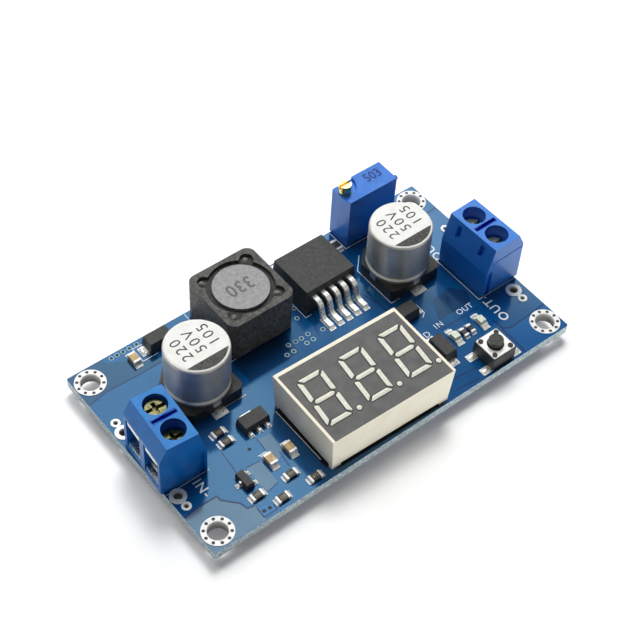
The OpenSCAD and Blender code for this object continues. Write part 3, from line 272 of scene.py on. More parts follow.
# Two close colours, grain in mm, range of roughness, size and depth of the relief in mm, shader values
PLAIN = {
    "mask_mauve": ((80, 90, 108), (89, 98, 117), 6.0, MASK_GLOSS, (0.9, 0.004), MASK),
    # Darker tint of the mask, also used as painted shadow beside the output terminal
    "mask_dark_tint_and_shade": ((5, 42, 84), (9, 49, 92), 6.0, MASK_GLOSS, (0.9, 0.004), MASK),
    "mask_bright": ((3, 76, 138), (6, 83, 147), 6.0, MASK_GLOSS, (0.9, 0.004), MASK),
    "pour_gap": ((2, 40, 92), (5, 48, 104), 2.0, (0.16, 0.22), (0.6, 0.004), {"spec": 0.35}),
    "tin": ((240, 240, 237), (250, 250, 248), 0.6, (0.38, 0.5), (0.35, 0.006), {"metal": 0.2}),
    "lead_metal": ((230, 230, 225), (246, 246, 241), 0.5, (0.22, 0.36), (0.3, 0.008), {"metal": 0.65}),
    "solder": ((226, 226, 221), (250, 250, 247), 0.4, (0.16, 0.32), (0.25, 0.03), {"metal": 0.5}),
    "pad_solder": ((228, 228, 223), (250, 250, 247), 0.35, (0.3, 0.45), (0.3, 0.03), {"metal": 0.15}),
    # The two terminal blues are one plastic in two copies: the input terminal's is painted darker as
    # shade on its end faces, the output terminal's lighter as painted light.
    "terminal_in_painted_shade": ((5, 96, 184), (10, 108, 196), 2.5, (0.28, 0.38), (0.25, 0.004),
                    {"spec": 0.7, "tint": TEAL_SHEEN}),
    "terminal_out_painted_light": ((21, 108, 208), (25, 113, 213), 7.0, (0.29, 0.33), (0.6, 0.002),
                     {"spec": 0.8, "tint": PALE_SHEEN}),
    # Painted shade in the grooves of the terminals
    "groove_shade": ((4, 34, 150), (8, 42, 164), 1.0, (0.5, 0.6), (0.2, 0.003), {"spec": 0.2}),
    "contact_metal": ((230, 230, 226), (246, 246, 242), 0.8, (0.2, 0.34), (0.3, 0.008), {"metal": 1.0}),
    # Darker copy of the contact metal for the clamps, painted as the shade inside the terminal windows.
    "clamp_metal_painted_shade": ((104, 103, 96), (138, 136, 128), 0.7, (0.25, 0.4), (0.3, 0.012), {"metal": 1.0}),
    # One zinc plate in two copies: the input screws painted darker as shade in their holes, the deep
    # output screws painted lighter as light on their heads.
    "zinc_screw": ((70, 72, 46), (128, 126, 92), 0.5, (0.16, 0.26), (0.25, 0.02), {"metal": 1.0}),
    "zinc_deep_painted_light": ((214, 208, 160), (246, 242, 206), 0.5, (0.34, 0.46), (0.25, 0.02), {"metal": 1.0}),
    "black_plastic": ((28, 28, 27), (41, 41, 39), 1.2, (0.38, 0.5), (0.2, 0.008), {"spec": 0.5}),
    "can_top": ((238, 238, 233), (247, 247, 243), 1.5, (0.38, 0.48), (0.15, 0.003), {"spec": 0.4}),
    "can_mark": ((30, 31, 29), (76, 77, 74), 0.35, (0.34, 0.5), (0.15, 0.01), {"spec": 0.4}),
    "can_print": ((30, 29, 27), (52, 51, 47), 0.4, (0.4, 0.5), (0.15, 0.004), {}),
    "ferrite": ((63, 62, 59), (102, 101, 98), 0.55, (0.4, 0.55), (0.18, 0.025), {"spec": 0.3}),
    "ferrite_core": ((137, 138, 137), (158, 159, 158), 0.6, (0.34, 0.48), (0.16, 0.012), {"spec": 0.5}),
    "ferrite_mark": ((80, 80, 79), (104, 104, 103), 0.4, (0.36, 0.5), (0.15, 0.02), {}),
    "copper": ((150, 84, 44), (186, 112, 66), 0.5, (0.25, 0.4), (0.2, 0.02), {"metal": 1.0}),
    "glue": ((22, 22, 21), (44, 44, 42), 0.5, (0.3, 0.5), (0.6, 0.14), {"spec": 0.3}),
    "glue_bead": ((91, 91, 88), (135, 135, 130), 0.3, (0.2, 0.4), (0.3, 0.05), {"spec": 0.5}),
    "mould_black": ((50, 51, 50), (65, 66, 64), 0.5, (0.42, 0.54), (0.12, 0.01), {"spec": 0.4}),
    "trimmer_blue": ((19, 98, 198), (27, 110, 212), 2.0, (0.28, 0.38), (0.3, 0.005),
                     {"spec": 0.6, "tint": PALE_SHEEN}),
    "trimmer_print": ((6, 34, 110), (10, 42, 124), 0.5, (0.4, 0.5), (0.15, 0.004), {}),
    "brass": ((232, 200, 116), (250, 228, 160), 0.5, (0.16, 0.3), (0.2, 0.01), {"metal": 1.0}),
    "segment_milk": ((224, 223, 208), (238, 237, 224), 0.6, (0.36, 0.46), (0.2, 0.006), {}),
    "segment_line": ((30, 30, 29), (44, 44, 43), 0.5, (0.5, 0.6), (0.2, 0.004), {}),
    "resin": ((196, 186, 150), (212, 204, 172), 1.0, (0.25, 0.4), (0.5, 0.03), {}),
    # Painted shade at the foot of the display's walls
    "foot_shade": ((3, 8, 16), (8, 15, 26), 0.5, (0.4, 0.5), (0.2, 0.004), {"spec": 0.2}),
    "cover_steel": ((234, 233, 228), (246, 245, 241), 0.7, (0.3, 0.42), (0.25, 0.003), {"metal": 0.6}),
    "plunger_black": ((43, 46, 42), (61, 63, 59), 0.6, (0.36, 0.46), (0.15, 0.01), {"spec": 0.5}),
    "lamp_white": ((226, 226, 214), (240, 240, 230), 0.5, (0.35, 0.5), (0.15, 0.008), {}),
    "lamp_lens": ((206, 220, 190), (236, 240, 224), 0.4, (0.12, 0.22), (0.2, 0.02), {"coat": 0.5}),
    "chip_black": ((39, 37, 31), (63, 59, 50), 0.5, (0.3, 0.42), (0.12, 0.008), {"spec": 0.5}),
    "chip_brown": ((171, 141, 93), (210, 182, 132), 0.4, (0.3, 0.42), (0.12, 0.01), {"spec": 0.5}),
    "chip_print": ((190, 184, 152), (214, 208, 178), 0.3, (0.4, 0.5), (0.1, 0.004), {}),
    "silk": ((224, 230, 234), (242, 246, 248), 0.4, (0.45, 0.55), (0.12, 0.006), {}),
    "via_ring": ((120, 172, 196), (168, 208, 222), 0.3, (0.3, 0.4), (0.1, 0.01), {"spec": 0.4}),
    # Dark discs painted as the shade inside the small holes and the dots round the mounting holes
    "via_hole_shade": ((6, 14, 24), (16, 26, 38), 0.3, (0.4, 0.5), (0.1, 0.01), {}),
    "ring_dot_shade": ((34, 34, 32), (62, 61, 58), 0.3, (0.4, 0.5), (0.1, 0.01), {}),
}
GLOSS_GRAIN = 0.7   # grain of the gloss, as a share of the grain of the colour
for name, (a, b, size, gloss, relief, values) in PLAIN.items():
    f = Finish(name, **values)
    M[name] = f.base(f.grain(a, b, size)).gloss(*gloss, size * GLOSS_GRAIN).relief(*relief).mat

USES = {
    "board_blue": "circuit_board",
    "tin": "mounting_rings wire_hole_rings solder_pads chip_resistor_ends chip_capacitor_ends "
           "regulator_tab",
    "lead_metal": "trimmer_pins display_pins input_capacitor_leads output_capacitor_leads "
                  "coil_terminals regulator_leads button_terminals small_regulator_leads "
                  "transistor_leads diode_leads controller_leads",
    "solder": "solder_joints",
    "terminal_in_painted_shade": "input_terminal_housing",
    "terminal_out_painted_light": "output_terminal_housing",
    "contact_metal": "input_terminal_contacts output_terminal_contacts button_dome",
    "clamp_metal_painted_shade": "input_clamp_front input_clamp_back output_clamp_front output_clamp_back",
    "zinc_screw": "input_screw_front input_screw_back",
    "zinc_deep_painted_light": "output_screw_front output_screw_back",
    "black_plastic": "input_capacitor_base output_capacitor_base button_base",
    "can_aluminium": "input_capacitor_can output_capacitor_can",
    "ferrite": "coil_shield",
    "ferrite_core": "coil_core",
    "copper": "coil_winding",
    "glue": "coil_glue",
    "mould_black": "regulator_body small_regulator_body transistor_body diode_bodies controller_body",
    "trimmer_blue": "trimmer_housing",
    "brass": "trimmer_screw",
    "display_ivory": "display_housing",
    "segment_milk": "display_segments",
    "resin": "display_resin",
    "cover_steel": "button_cover",
    "plunger_black": "button_plunger",
    "lamp_white": "lamp_bases",
    "lamp_lens": "lamp_lenses",
    "chip_black": "chip_resistors",
    "chip_brown": "chip_capacitors",
}
for finish, names in USES.items():
    for name in names.split():
        nodes[name].data.materials.clear()
        nodes[name].data.materials.append(M[finish])

# Rounded edges on CAD nodes, by width in mm
SOFT_EDGES = {
    0.03: "chip_resistors",
    0.04: "button_cover",
    0.05: "display_housing transistor_body chip_resistor_ends",
    0.06: "button_base chip_capacitors chip_capacitor_ends",
    0.07: "coil_shield",
    0.08: "small_regulator_body trimmer_screw lamp_lenses regulator_leads",
    0.1: "coil_core diode_bodies input_capacitor_base output_capacitor_base",
    0.12: "trimmer_housing regulator_body button_plunger",
    0.14: "input_terminal_housing output_terminal_housing",
    0.2: "input_screw_front input_screw_back output_screw_front output_screw_back",
}
SOFT_ANGLE = math.radians(35)
for width, names in SOFT_EDGES.items():
    for name in names.split():
        bevel = nodes[name].modifiers.new("soft_edges", "BEVEL")
        bevel.width = width * MM
        bevel.segments = 3
        bevel.limit_method = "ANGLE"
        bevel.angle_limit = SOFT_ANGLE
        bevel.use_clamp_overlap = True


# Tools for the pieces made here. All work in mm.

DISC_STEPS, RING_STEPS, HOLE_STEPS = 20, 24, 32     # points on a circle


def piece(name, bm, mats):
    """Object on the board from a mesh in mm, which is used up."""
    for v in bm.verts:
        v.co *= MM
    me = bpy.data.meshes.new(name)
    bm.to_mesh(me)
    bm.free()
    for m in mats:
        me.materials.append(M[m])
    o = bpy.data.objects.new(name, me)
    scene.collection.objects.link(o)
    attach(o, "board")


def turned(at, local, angle):
    """Place of a local point after a turn in degrees about at."""
    a = math.radians(angle)
    x, y = local
    return (at[0] + x * math.cos(a) - y * math.sin(a), at[1] + x * math.sin(a) + y * math.cos(a))


def circle(x, y, r, n):
    steps = [2 * math.pi * k / n for k in range(n)]
    return [(x + r * math.cos(a), y + r * math.sin(a)) for a in steps]


def rectangle(x, y, half_x, half_y):
    return [(x - half_x, y - half_y), (x + half_x, y - half_y), (x + half_x, y + half_y),
            (x - half_x, y + half_y)]


def face(bm, pts, index=0):
    bm.faces.new([bm.verts.new(p) for p in pts]).material_index = index


def disc(bm, x, y, z, r, index):
    face(bm, [(*p, z) for p in circle(x, y, r, DISC_STEPS)], index)


def loop(bm, x, y, z, r, n):
    """Vertices on a circle."""
    return [bm.verts.new((*p, z)) for p in circle(x, y, r, n)]


def bridge(bm, a, b, index=0, smooth=False):
    """Band of faces between two closed loops."""
    for k in range(len(a)):
        j = (k + 1) % len(a)
        f = bm.faces.new((a[k], b[k], b[j], a[j]))
        f.material_index = index
        f.smooth = smooth


def ring(bm, x, y, z, r0, r1):
    inner, outer = (loop(bm, x, y, z, r, RING_STEPS) for r in (r0, r1))
    bridge(bm, inner, outer)


def tube(bm, x, y, r, wall, index):
    """Sleeve that lines a hole, just short of its rings."""
    short = 0.01
    low, high = UNDER + short, SEAT - short
    section = ((r, low), (r, high), (r - wall, high), (r - wall, low))
    loops = [loop(bm, x, y, z, radius, HOLE_STEPS) for radius, z in section]
    for a, b in zip(loops, loops[1:] + loops[:1]):
        bridge(bm, a, b, index, smooth=True)


def sheet(bm, outline, z, index, openings):
    """Flat area with round openings, each given as x, y and radius."""
    edges = []
    for points in [outline] + [circle(x, y, r, HOLE_STEPS) for x, y, r in openings]:
        vs = [bm.verts.new((x, y, z)) for x, y in points]
        edges += [bm.edges.new((vs[i - 1], vs[i])) for i in range(len(vs))]
    for g in bmesh.ops.triangle_fill(bm, edges=edges, use_beauty=True)["geom"]:
        if isinstance(g, bmesh.types.BMFace):
            g.material_index = index
            g.normal_update()
            if g.normal.z < 0:
                g.normal_flip()


def ribbon(bm, pts, width, z):
    """Flat line of even width through points."""
    sharpest = 0.35     # keeps the corner of a tight bend short
    points = [Vector(p) for p in pts]
    left, right = [], []
    for i, p in enumerate(points):
        before = p - points[i - 1] if i > 0 else points[1] - p
        after = points[i + 1] - p if i < len(points) - 1 else before
        a, b = before.normalized(), after.normalized()
        t = (a + b).normalized()
        side = Vector((-t.y, t.x))
        reach = width / 2 / max(sharpest, side.dot(Vector((-a.y, a.x))))
        left.append(bm.verts.new((*(p + side * reach), z)))
        right.append(bm.verts.new((*(p - side * reach), z)))
    for i in range(len(points) - 1):
        bm.faces.new((left[i], right[i], right[i + 1], left[i + 1]))


def letters(bm, text, at, height, angle, z, index=0, bold=0.0, spread=1.0, squeeze=1.0):
    """Plain lettering as flat shapes. Height is that of a capital letter."""
    capital = 0.69      # height of a capital letter in the font at size 1
    c = bpy.data.curves.new("lettering", "FONT")
    c.body = text
    c.align_x = "CENTER"
    c.align_y = "CENTER"
    c.offset = bold
    c.space_character = spread
    c.resolution_u = 3
    o = bpy.data.objects.new("lettering", c)
    scene.collection.objects.link(o)
    shape = bpy.data.meshes.new_from_object(o.evaluated_get(bpy.context.evaluated_depsgraph_get()))
    size = height / capital
    place = Matrix.Translation((*at, z)) @ Matrix.Rotation(math.radians(angle), 4, "Z")
    shape.transform(place @ Matrix.Diagonal((size * squeeze, size, 1, 1)))
    start = len(bm.faces)
    bm.from_mesh(shape)
    bm.faces.ensure_lookup_table()
    for f in bm.faces[start:]:
        f.material_index = index
    bpy.data.objects.remove(o)
    bpy.data.curves.remove(c)
    bpy.data.meshes.remove(shape)


def dome(bm, at, foot, h, angle=0, z=SEAT, square=3.0, index=0):
    """Uneven mound on a rounded rectangle, with half its length and half its width as the foot."""
    rings, n, swell = 6, 24, 2.4
    tilt, wobble = 0.12, 0.01
    half_l, half_w = foot
    lean = (rnd.uniform(-tilt, tilt), rnd.uniform(-tilt, tilt))
    rows = []
    for i in range(rings + 1):
        s = 1 - i / rings
        row = []
        for k in range(n if s > 0 else 1):
            t = 2 * math.pi * k / n
            c, d = math.cos(t), math.sin(t)
            px = half_l * s * math.copysign(abs(c) ** (2 / square), c)
            py = half_w * s * math.copysign(abs(d) ** (2 / square), d)
            up = h * (1 - s ** swell) * (1 + lean[0] * px / half_l + lean[1] * py / half_w)
            up += rnd.uniform(-wobble, wobble) * (s < 1)
            row.append(bm.verts.new((*turned(at, (px, py), angle), z + up)))
        rows.append(row)
    for low, high in zip(rows, rows[1:]):
        for k in range(n):
            j = (k + 1) % n
            tip = (high[j], high[k]) if len(high) > 1 else (high[0],)
            f = bm.faces.new((low[k], low[j], *tip))
            f.smooth = True
            f.material_index = index


def fillet(bm, at, reach, width, h, angle):
    """Wedge of solder that climbs from a pad to the end of a chip. Local +X points away from the chip."""
    n = 6
    taper, hollow, droop = 0.12, 1.8, 0.35      # narrow foot, curve of the climb, lower at both sides
    grid = []
    for i in range(n + 1):
        u = i / n
        row = []
        for j in range(n + 1):
            v = 2 * j / n - 1
            local = (reach * u, width / 2 * v * (1 - taper * u * u))
            up = h * (1 - u) ** hollow * (1 - droop * abs(v) ** 4)
            row.append(bm.verts.new((*turned(at, local, angle), SEAT + up)))
        grid.append(row)
    for i in range(n):
        for j in range(n):
            bm.faces.new((grid[i][j], grid[i + 1][j], grid[i + 1][j + 1], grid[i][j + 1])).smooth = True
    for j in (0, n):
        edge = [row[j] for row in grid]
        side = [bm.verts.new((edge[0].co.x, edge[0].co.y, SEAT))] + edge
        bm.faces.new(side if j == 0 else side[::-1])


def chip_solder(bm, x, y, turn, length, width, h, reach):
    for angle in (turn, turn + 180):
        fillet(bm, turned((x, y), (length / 2, 0), angle), reach, width, h, angle)


# Board print: lines and lettering

bm = bmesh.new()
PRINT_WIDTH = 0.12
for line in (
    [(-12.7, 18.5), (-12.7, 6.75), (-1.0, 6.75)],
    [(16.9, 11.9), (14.6, 9.5), (14.6, 1.15), (16.4, 1.15)],
    [(-18.2, 0.5), (-14.3, 0.5)],
    [(16.1, 18.5), (16.1, 14.27), (26.4, 14.27)],
    [(2.0, 12.0), (2.0, 6.8), (3.2, 6.8)],
    [(26.25, 3.9), (26.25, -6.5), (34.0, -6.5)],
    [(-33.9, -6.95), (-26.4, -6.95)],
    [(-21.0, 17.5), (-22.95, 17.6), (-22.95, 14.7), (-20.2, 14.7)],
    [(16.6, -0.7), (17.5, -1.3), (17.5, -3.4), (16.7, -4.0)],
    [(17.4, -8.12), (18.4, -8.12)],
    [(22.75, -8.3), (23.75, -8.3)],
    [(-12.62, -4.6), (-12.62, -15.2)],
    [(-19.5, -9.4), (-18.05, -9.4)],
):
    ribbon(bm, line, PRINT_WIDTH, PRINT_Z)
# Text, place, height, angle, boldness and spread
for text, at, height, angle, bold, spread in (
    ("IN-", (-29.15, -8.95), 1.45, -90, 0.012, 1.15),
    ("OUT-", (27.15, -9.25), 1.5, 90, 0.012, 1.15),
    ("OUT+", (27.1, 6.6), 1.5, 90, 0.012, 1.15),
    ("IN+", (-29.2, 6.3), 1.45, -90, 0.012, 1.15),
    ("IN", (17.65, -6.62), 1.0, 0, -0.006, 1.2),
    ("OUT", (23.1, -6.6), 1.0, 0, -0.006, 1.05),
    ("D", (14.95, -7.0), 1.05, 0, -0.006, 1.0),
):
    letters(bm, text, at, height, angle, PRINT_Z, bold=bold, spread=spread)
piece("board_print", bm, ["silk"])

# Copper areas show through the mask in slightly different tints, with thin darker lines between them. One
# dark area, left of the output terminal, is painted shadow of that terminal.
bm = bmesh.new()
MAUVE, DARK_TINT_AND_SHADE, BRIGHT = 0, 1, 2
RING_CUT = 1.75     # radius left open round a mounting hole
for index, area in (
    (MAUVE, [(-33.95, -11.5), (-31.5, -11.2), (-28.25, -11.3), (-28.2, -12.15), (-26.3, -14.25),
             (-26.0, -15.5), (-25.0, -15.7), (-24.95, -18.62), (-33.95, -18.62)]),
    (MAUVE, [(-22.0, -9.95), (-19.65, -10.2), (-19.7, -12.1), (-19.9, -14.6), (-22.1, -14.9),
             (-22.3, -12.5)]),
    (MAUVE, [(-17.8, -6.9), (-15.6, -7.4), (-16.1, -10.9), (-17.9, -11.8), (-18.05, -9.4)]),
    (DARK_TINT_AND_SHADE, [(-33.95, 12.6), (-30.5, 13.15), (-24.6, 12.95), (-20.7, 13.0), (-20.7, 14.5),
            (-27.4, 17.4), (-27.8, 18.62), (-33.95, 18.62)]),
    (DARK_TINT_AND_SHADE, [(-12.4, 2.0), (-3.0, 2.0), (-2.6, 6.5), (-12.4, 6.5)]),
    # Painted shadow of the output terminal on the board beside it, in the darker tint
    (DARK_TINT_AND_SHADE, [(18.3, -6.0), (20.2, -2.3), (24.0, -1.8), (25.9, -4.0), (25.0, -6.0)]),
    (BRIGHT, [(25.4, -13.6), (30.5, -13.5), (33.95, -13.4), (33.95, -18.62), (25.1, -18.62)]),
    (BRIGHT, [(-24.95, -16.3), (-22.7, -17.1), (-22.7, -18.1), (-24.95, -18.1)]),
):
    xs, ys = zip(*area)
    sheet(bm, area, AREA_Z, index, [(x, y, RING_CUT) for x, y in MOUNTS
                                    if min(xs) < x < max(xs) and min(ys) < y < max(ys)])
piece("copper_areas", bm, ["mask_mauve", "mask_dark_tint_and_shade", "mask_bright"])

bm = bmesh.new()
for width, line in (
    (0.3, [(-33.9, -11.5), (-31.5, -11.2), (-28.25, -11.3), (-28.2, -12.15), (-26.3, -14.25),
           (-26.0, -15.5), (-25.0, -15.7)]),
    (0.16, [(-23.3, -5.7), (-23.65, -9.7)]),
    (0.16, [(-22.0, -9.95), (-19.65, -10.2)]),
    (0.16, [(-19.9, -14.6), (-21.95, -15.1)]),
    (0.18, [(-17.8, -6.9), (-18.05, -9.4)]),
    (0.2, [(-16.55, -10.55), (-16.9, -13.4)]),
    (0.2, [(-22.7, -17.1), (-22.7, -18.1), (-25.0, -18.05), (-24.9, -16.3)]),
    (0.28, [(25.19, -10.9), (25.3, -13.0), (26.4, -13.67), (30.7, -13.5), (33.9, -13.3)]),
    (0.28, [(25.15, -13.1), (25.0, -18.6)]),
    (0.2, [(17.3, -7.55), (22.2, -7.6), (25.2, -7.6)]),
    (0.3, [(11.6, -17.6), (15.75, -18.1)]),
    (0.3, [(12.8, -15.9), (16.9, -16.25)]),
    (0.2, [(-33.9, 12.6), (-30.5, 13.15), (-24.6, 12.95), (-20.7, 13.0)]),
    (0.24, [(1.4, 2.4), (2.2, 5.6), (2.2, 9.0)]),
    (0.24, [(13.0, -4.2), (13.0, 2.0), (12.2, 5.0)]),
    (0.28, [(29.2, 9.0), (29.2, 12.2), (33.9, 12.6)]),
):
    ribbon(bm, line, width, GAP_Z)
piece("copper_gaps", bm, ["pour_gap"])

# Small plated holes: with a ring, bare, and ten round each mounting hole. Each hole is a flat dark disc,
# painted as the shade inside it.
bm = bmesh.new()
VIA_HOLE, VIA_INNER, VIA_OUTER = 0.3, 0.27, 0.41    # radii
DOT, DOT_CIRCLE, DOT_LIFT = 0.26, 2.0, 0.006
HOLE, RING_DOT = 1, 2                               # materials
vias = [(x, 18.0) for x in (-26.46, -25.44, -24.36, -23.24, -21.94)]
vias += [(-1.08, 3.98), (0.25, 4.09), (-0.95, 2.79), (0.3, 2.8), (-4.8, 2.75), (-3.55, 2.72),
         (-3.49, 4.15), (-2.17, 4.01), (0.83, 7.53), (1.7, 9.4), (2.7, 3.45)]
for x, y in vias:
    ring(bm, x, y, VIA_RING_Z, VIA_INNER, VIA_OUTER)
    disc(bm, x, y, VIA_HOLE_Z, VIA_HOLE, HOLE)
for x, y in ((-24.36, -17.25), (-23.41, -17.33), (-19.75, -7.65)):
    disc(bm, x, y, VIA_RING_Z, VIA_HOLE, HOLE)
for mount in MOUNTS:
    for x, y in circle(*mount, DOT_CIRCLE, 10):
        disc(bm, x, y, SEAT + DOT_LIFT, DOT, RING_DOT)
        disc(bm, x, y, UNDER - DOT_LIFT, DOT, RING_DOT)
piece("small_holes", bm, ["via_ring", "via_hole_shade", "ring_dot_shade"])

# Plating inside the holes. Each wire hole has a smaller test hole beside it.
bm = bmesh.new()
MOUNT_BORE, WIRE_BORE, TEST_BORE = 1.597, 0.673, 0.373      # radii
MOUNT_WALL, WIRE_WALL = 0.04, 0.03
TEST_STEP = 2.05
for x, y in MOUNTS:
    tube(bm, x, y, MOUNT_BORE, MOUNT_WALL, 0)
for x, y, way in ((-32.6, 5.6, 1), (-32.6, -8.05, -1), (32, -8.35, -1), (32, 6, 1)):
    tube(bm, x, y, WIRE_BORE, WIRE_WALL, 1)
    tube(bm, x, y + way * TEST_STEP, TEST_BORE, WIRE_WALL, 1)
piece("hole_plating", bm, ["hole_barrel", "wire_barrel"])

# Solder. Leads are placed from the middle of their part.
CAPACITOR_LEAD = 5.78
REGULATOR, REGULATOR_PITCH = (7.375, 3.35), 1.7
BUTTON_LEG = (2.95, 1.6)
DIODE_LEAD = 2.75
SMALL_REGULATOR, SMALL_PITCH, SMALL_LEAD = (-16.6, -4.3), 1.5, 1.65
TRANSISTOR, TRANSISTOR_LEAD = (-23.7, -11.8), (1.05, 0.95)
PAD_SOLDER = 1      # material
bm = bmesh.new()
# Length of the chip, then width, height and reach of its solder
for chips, *sizes in ((RES, 2.0, 1.15, 0.38, 0.38), (LAMP_RES, 1.6, 0.76, 0.36, 0.33),
                      (MLCC, 2.0, 1.2, 0.6, 0.55), (LAMPS, 2.0, 1.2, 0.26, 0.65)):
    for chip in chips:
        chip_solder(bm, *chip, *sizes)
for x, y in CAPACITORS.values():
    for s in (-1, 1):
        dome(bm, (x, y + s * CAPACITOR_LEAD), foot=(1.1, 0.6), h=0.17, index=PAD_SOLDER)
x, y = REGULATOR
for k in range(5):
    dome(bm, (x + (k - 2) * REGULATOR_PITCH, y), foot=(0.52, 0.95), h=0.3)
for sx in (-1, 1):
    for sy in (-1, 1):
        at = (BUTTON[0] + sx * BUTTON_LEG[0], BUTTON[1] + sy * BUTTON_LEG[1])
        dome(bm, at, foot=(0.85, 0.56), h=0.3)
for x, y, turn in DIODES:
    for s in (-1, 1):
        dome(bm, turned((x, y), (s * DIODE_LEAD, 0), turn), foot=(0.46, 0.8), h=0.3, angle=turn)
x, y = SMALL_REGULATOR
for k in (-1, 0, 1):
    dome(bm, (x + k * SMALL_PITCH, y - SMALL_LEAD), foot=(0.36, 0.46), h=0.36)
dome(bm, (x, y + SMALL_LEAD), foot=(0.9, 0.46), h=0.36)
x, y = TRANSISTOR
dx, dy = TRANSISTOR_LEAD
for at in ((x + dx, y - dy), (x + dx, y + dy), (x - dx, y)):
    dome(bm, at, foot=(0.42, 0.32), h=0.22)
piece("solder_fillets", bm, ["solder", "pad_solder"])

# Painted shade in the groove between the two screw holes of a terminal: a dark tray on its floor, walls
# and rim
GROOVE_X, GROOVE_Y, GROOVE_DEEP = 1.95, 0.29, 0.48      # half length, half width and depth
GROOVE_RIM, GROOVE_LIFT = 0.12, 0.006
for side in ("input", "output"):
    bm = bmesh.new()
    cx = cy = 0.0
    for end in ("front", "back"):
        xs, ys = zip(*(v.co.xy / MM for v in nodes[side + "_screw_" + end].data.vertices))
        cx += (min(xs) + max(xs)) / 4
        cy += (min(ys) + max(ys)) / 4
    z = max(v.co.z for v in nodes[side + "_terminal_housing"].data.vertices) / MM
    low, high = z - GROOVE_DEEP, z + GROOVE_LIFT
    inner = rectangle(cx, cy, GROOVE_X, GROOVE_Y)
    outer = rectangle(cx, cy, GROOVE_X + GROOVE_RIM, GROOVE_Y + GROOVE_RIM)
    face(bm, [(*p, low) for p in inner])
    for k in range(4):
        a, b = inner[k - 1], inner[k]
        face(bm, [(*b, low), (*a, low), (*a, high), (*b, high)])
        face(bm, [(*b, high), (*a, high), (*outer[k - 1], high), (*outer[k], high)])
    piece(side + "_terminal_groove_shade", bm, ["groove_shade"])

# Capacitor tops: white film with a dark sign on the negative side and plain values
FILM_R, FILM_Z = 4.58, CAN_TOP + PRINT_LIFT
SHOULDER = ((FILM_R, FILM_Z), (4.67, 11.985), (4.76, 11.945), (4.85, 11.885))   # radius and height
SIGN_TURN = math.asin(0.606)
ARC = 64
CAN_TEXT_Z = CAN_TOP + 0.02
FILM, SIGN, CAN_PRINT = 0, 1, 2     # materials
for side, (cx, cy) in CAPACITORS.items():
    bm = bmesh.new()
    for index, start, sweep in ((FILM, -SIGN_TURN, math.pi + 2 * SIGN_TURN),
                                (SIGN, math.pi + SIGN_TURN, math.pi - 2 * SIGN_TURN)):
        arc = [start + sweep * k / ARC for k in range(ARC + 1)]
        face(bm, [(cx + FILM_R * math.cos(a), cy + FILM_R * math.sin(a), FILM_Z) for a in arc], index)
    rows = [loop(bm, cx, cy, z, r, ARC) for r, z in SHOULDER]
    for inner, outer in zip(rows, rows[1:]):
        bridge(bm, inner, outer, smooth=True)
    for text, dx, dy in (("220", -2.25, 0.5), ("50V", 0.2, 0.75), ("105", 2.6, 0.65)):
        letters(bm, text, (cx + dx, cy + dy), height=1.7, angle=90, z=CAN_TEXT_Z, index=CAN_PRINT,
                spread=1.25)
    piece(side + "_capacitor_top", bm, ["can_top", "can_mark", "can_print"])

# Coil value on the drum
bm = bmesh.new()
letters(bm, "330", COIL, height=2.3, angle=180, z=COIL_TOP + PRINT_LIFT, bold=0.014, spread=1.1,
        squeeze=0.85)
piece("coil_value", bm, ["ferrite_mark"])

# Beads of glue in the corner pockets of the coil
bm = bmesh.new()
POCKET = 4.05
for sx in (-1, 1):
    for sy in (-1, 1):
        dome(bm, (COIL[0] + sx * POCKET, COIL[1] + sy * POCKET), foot=(0.62, 0.5), h=0.42,
             angle=45 * sx * sy, z=COIL_POCKET, square=2.2)
piece("glue_beads", bm, ["glue_bead"])

# Trimmer value
bm = bmesh.new()
letters(bm, "503", TRIMMER_TEXT, height=1.7, angle=0, z=TRIMMER_TOP + PRINT_LIFT, bold=0.022,
        spread=1.05, squeeze=0.85)
piece("trimmer_value", bm, ["trimmer_print"])

# Chip values
bm = bmesh.new()
for (x, y, turn), text in zip(RES, RES_VALUES):
    letters(bm, text, (x, y), height=0.5, angle=turn, z=CHIP_PRINT_Z, bold=-0.01, spread=1.1,
            squeeze=0.8)
piece("chip_values", bm, ["chip_print"])


# Light bars and points of the display: blunt caps with a slight ridge, each in a dark joint that is
# shifted to the lower left as painted shade on that side

def islands(faces):
    """Vertices of each group of faces that share edges, in a fixed order."""
    left = dict.fromkeys(faces)
    while left:
        todo, verts = [left.popitem()[0]], {}
        while todo:
            f = todo.pop()
            verts.update(dict.fromkeys(f.verts))
            near = [g for e in f.edges for g in e.link_faces if g in left]
            for g in near:
                left.pop(g, None)
            todo += near
        yield list(verts)


def offset(poly, d):
    """Convex outline, counter-clockwise, moved in by d. A negative d moves it out."""
    lines = []
    for i in range(len(poly)):
        a, b = poly[i - 1], poly[i]
        t = (b - a).normalized()
        lines.append((a + Vector((-t.y, t.x)) * d, t))
    out = []
    for i in range(len(poly)):
        (p, t), (q, u) = lines[i], lines[(i + 1) % len(poly)]
        cross = t.x * u.y - t.y * u.x
        straight = abs(cross) <= 1e-4
        out.append(q if straight else p + t * (((q - p).x * u.y - (q - p).y * u.x) / cross))
    return out


def blunt(poly, cut, limit):
    """Cuts every corner that is sharper than the limit in degrees."""
    share = 0.35        # most of an edge that a cut may take
    out = []
    for i, p in enumerate(poly):
        a, b = poly[i - 1] - p, poly[(i + 1) % len(poly)] - p
        if math.degrees(a.angle(b)) < limit:
            out += [p + d.normalized() * min(cut, d.length * share) for d in (a, b)]
        else:
            out.append(p)
    return out


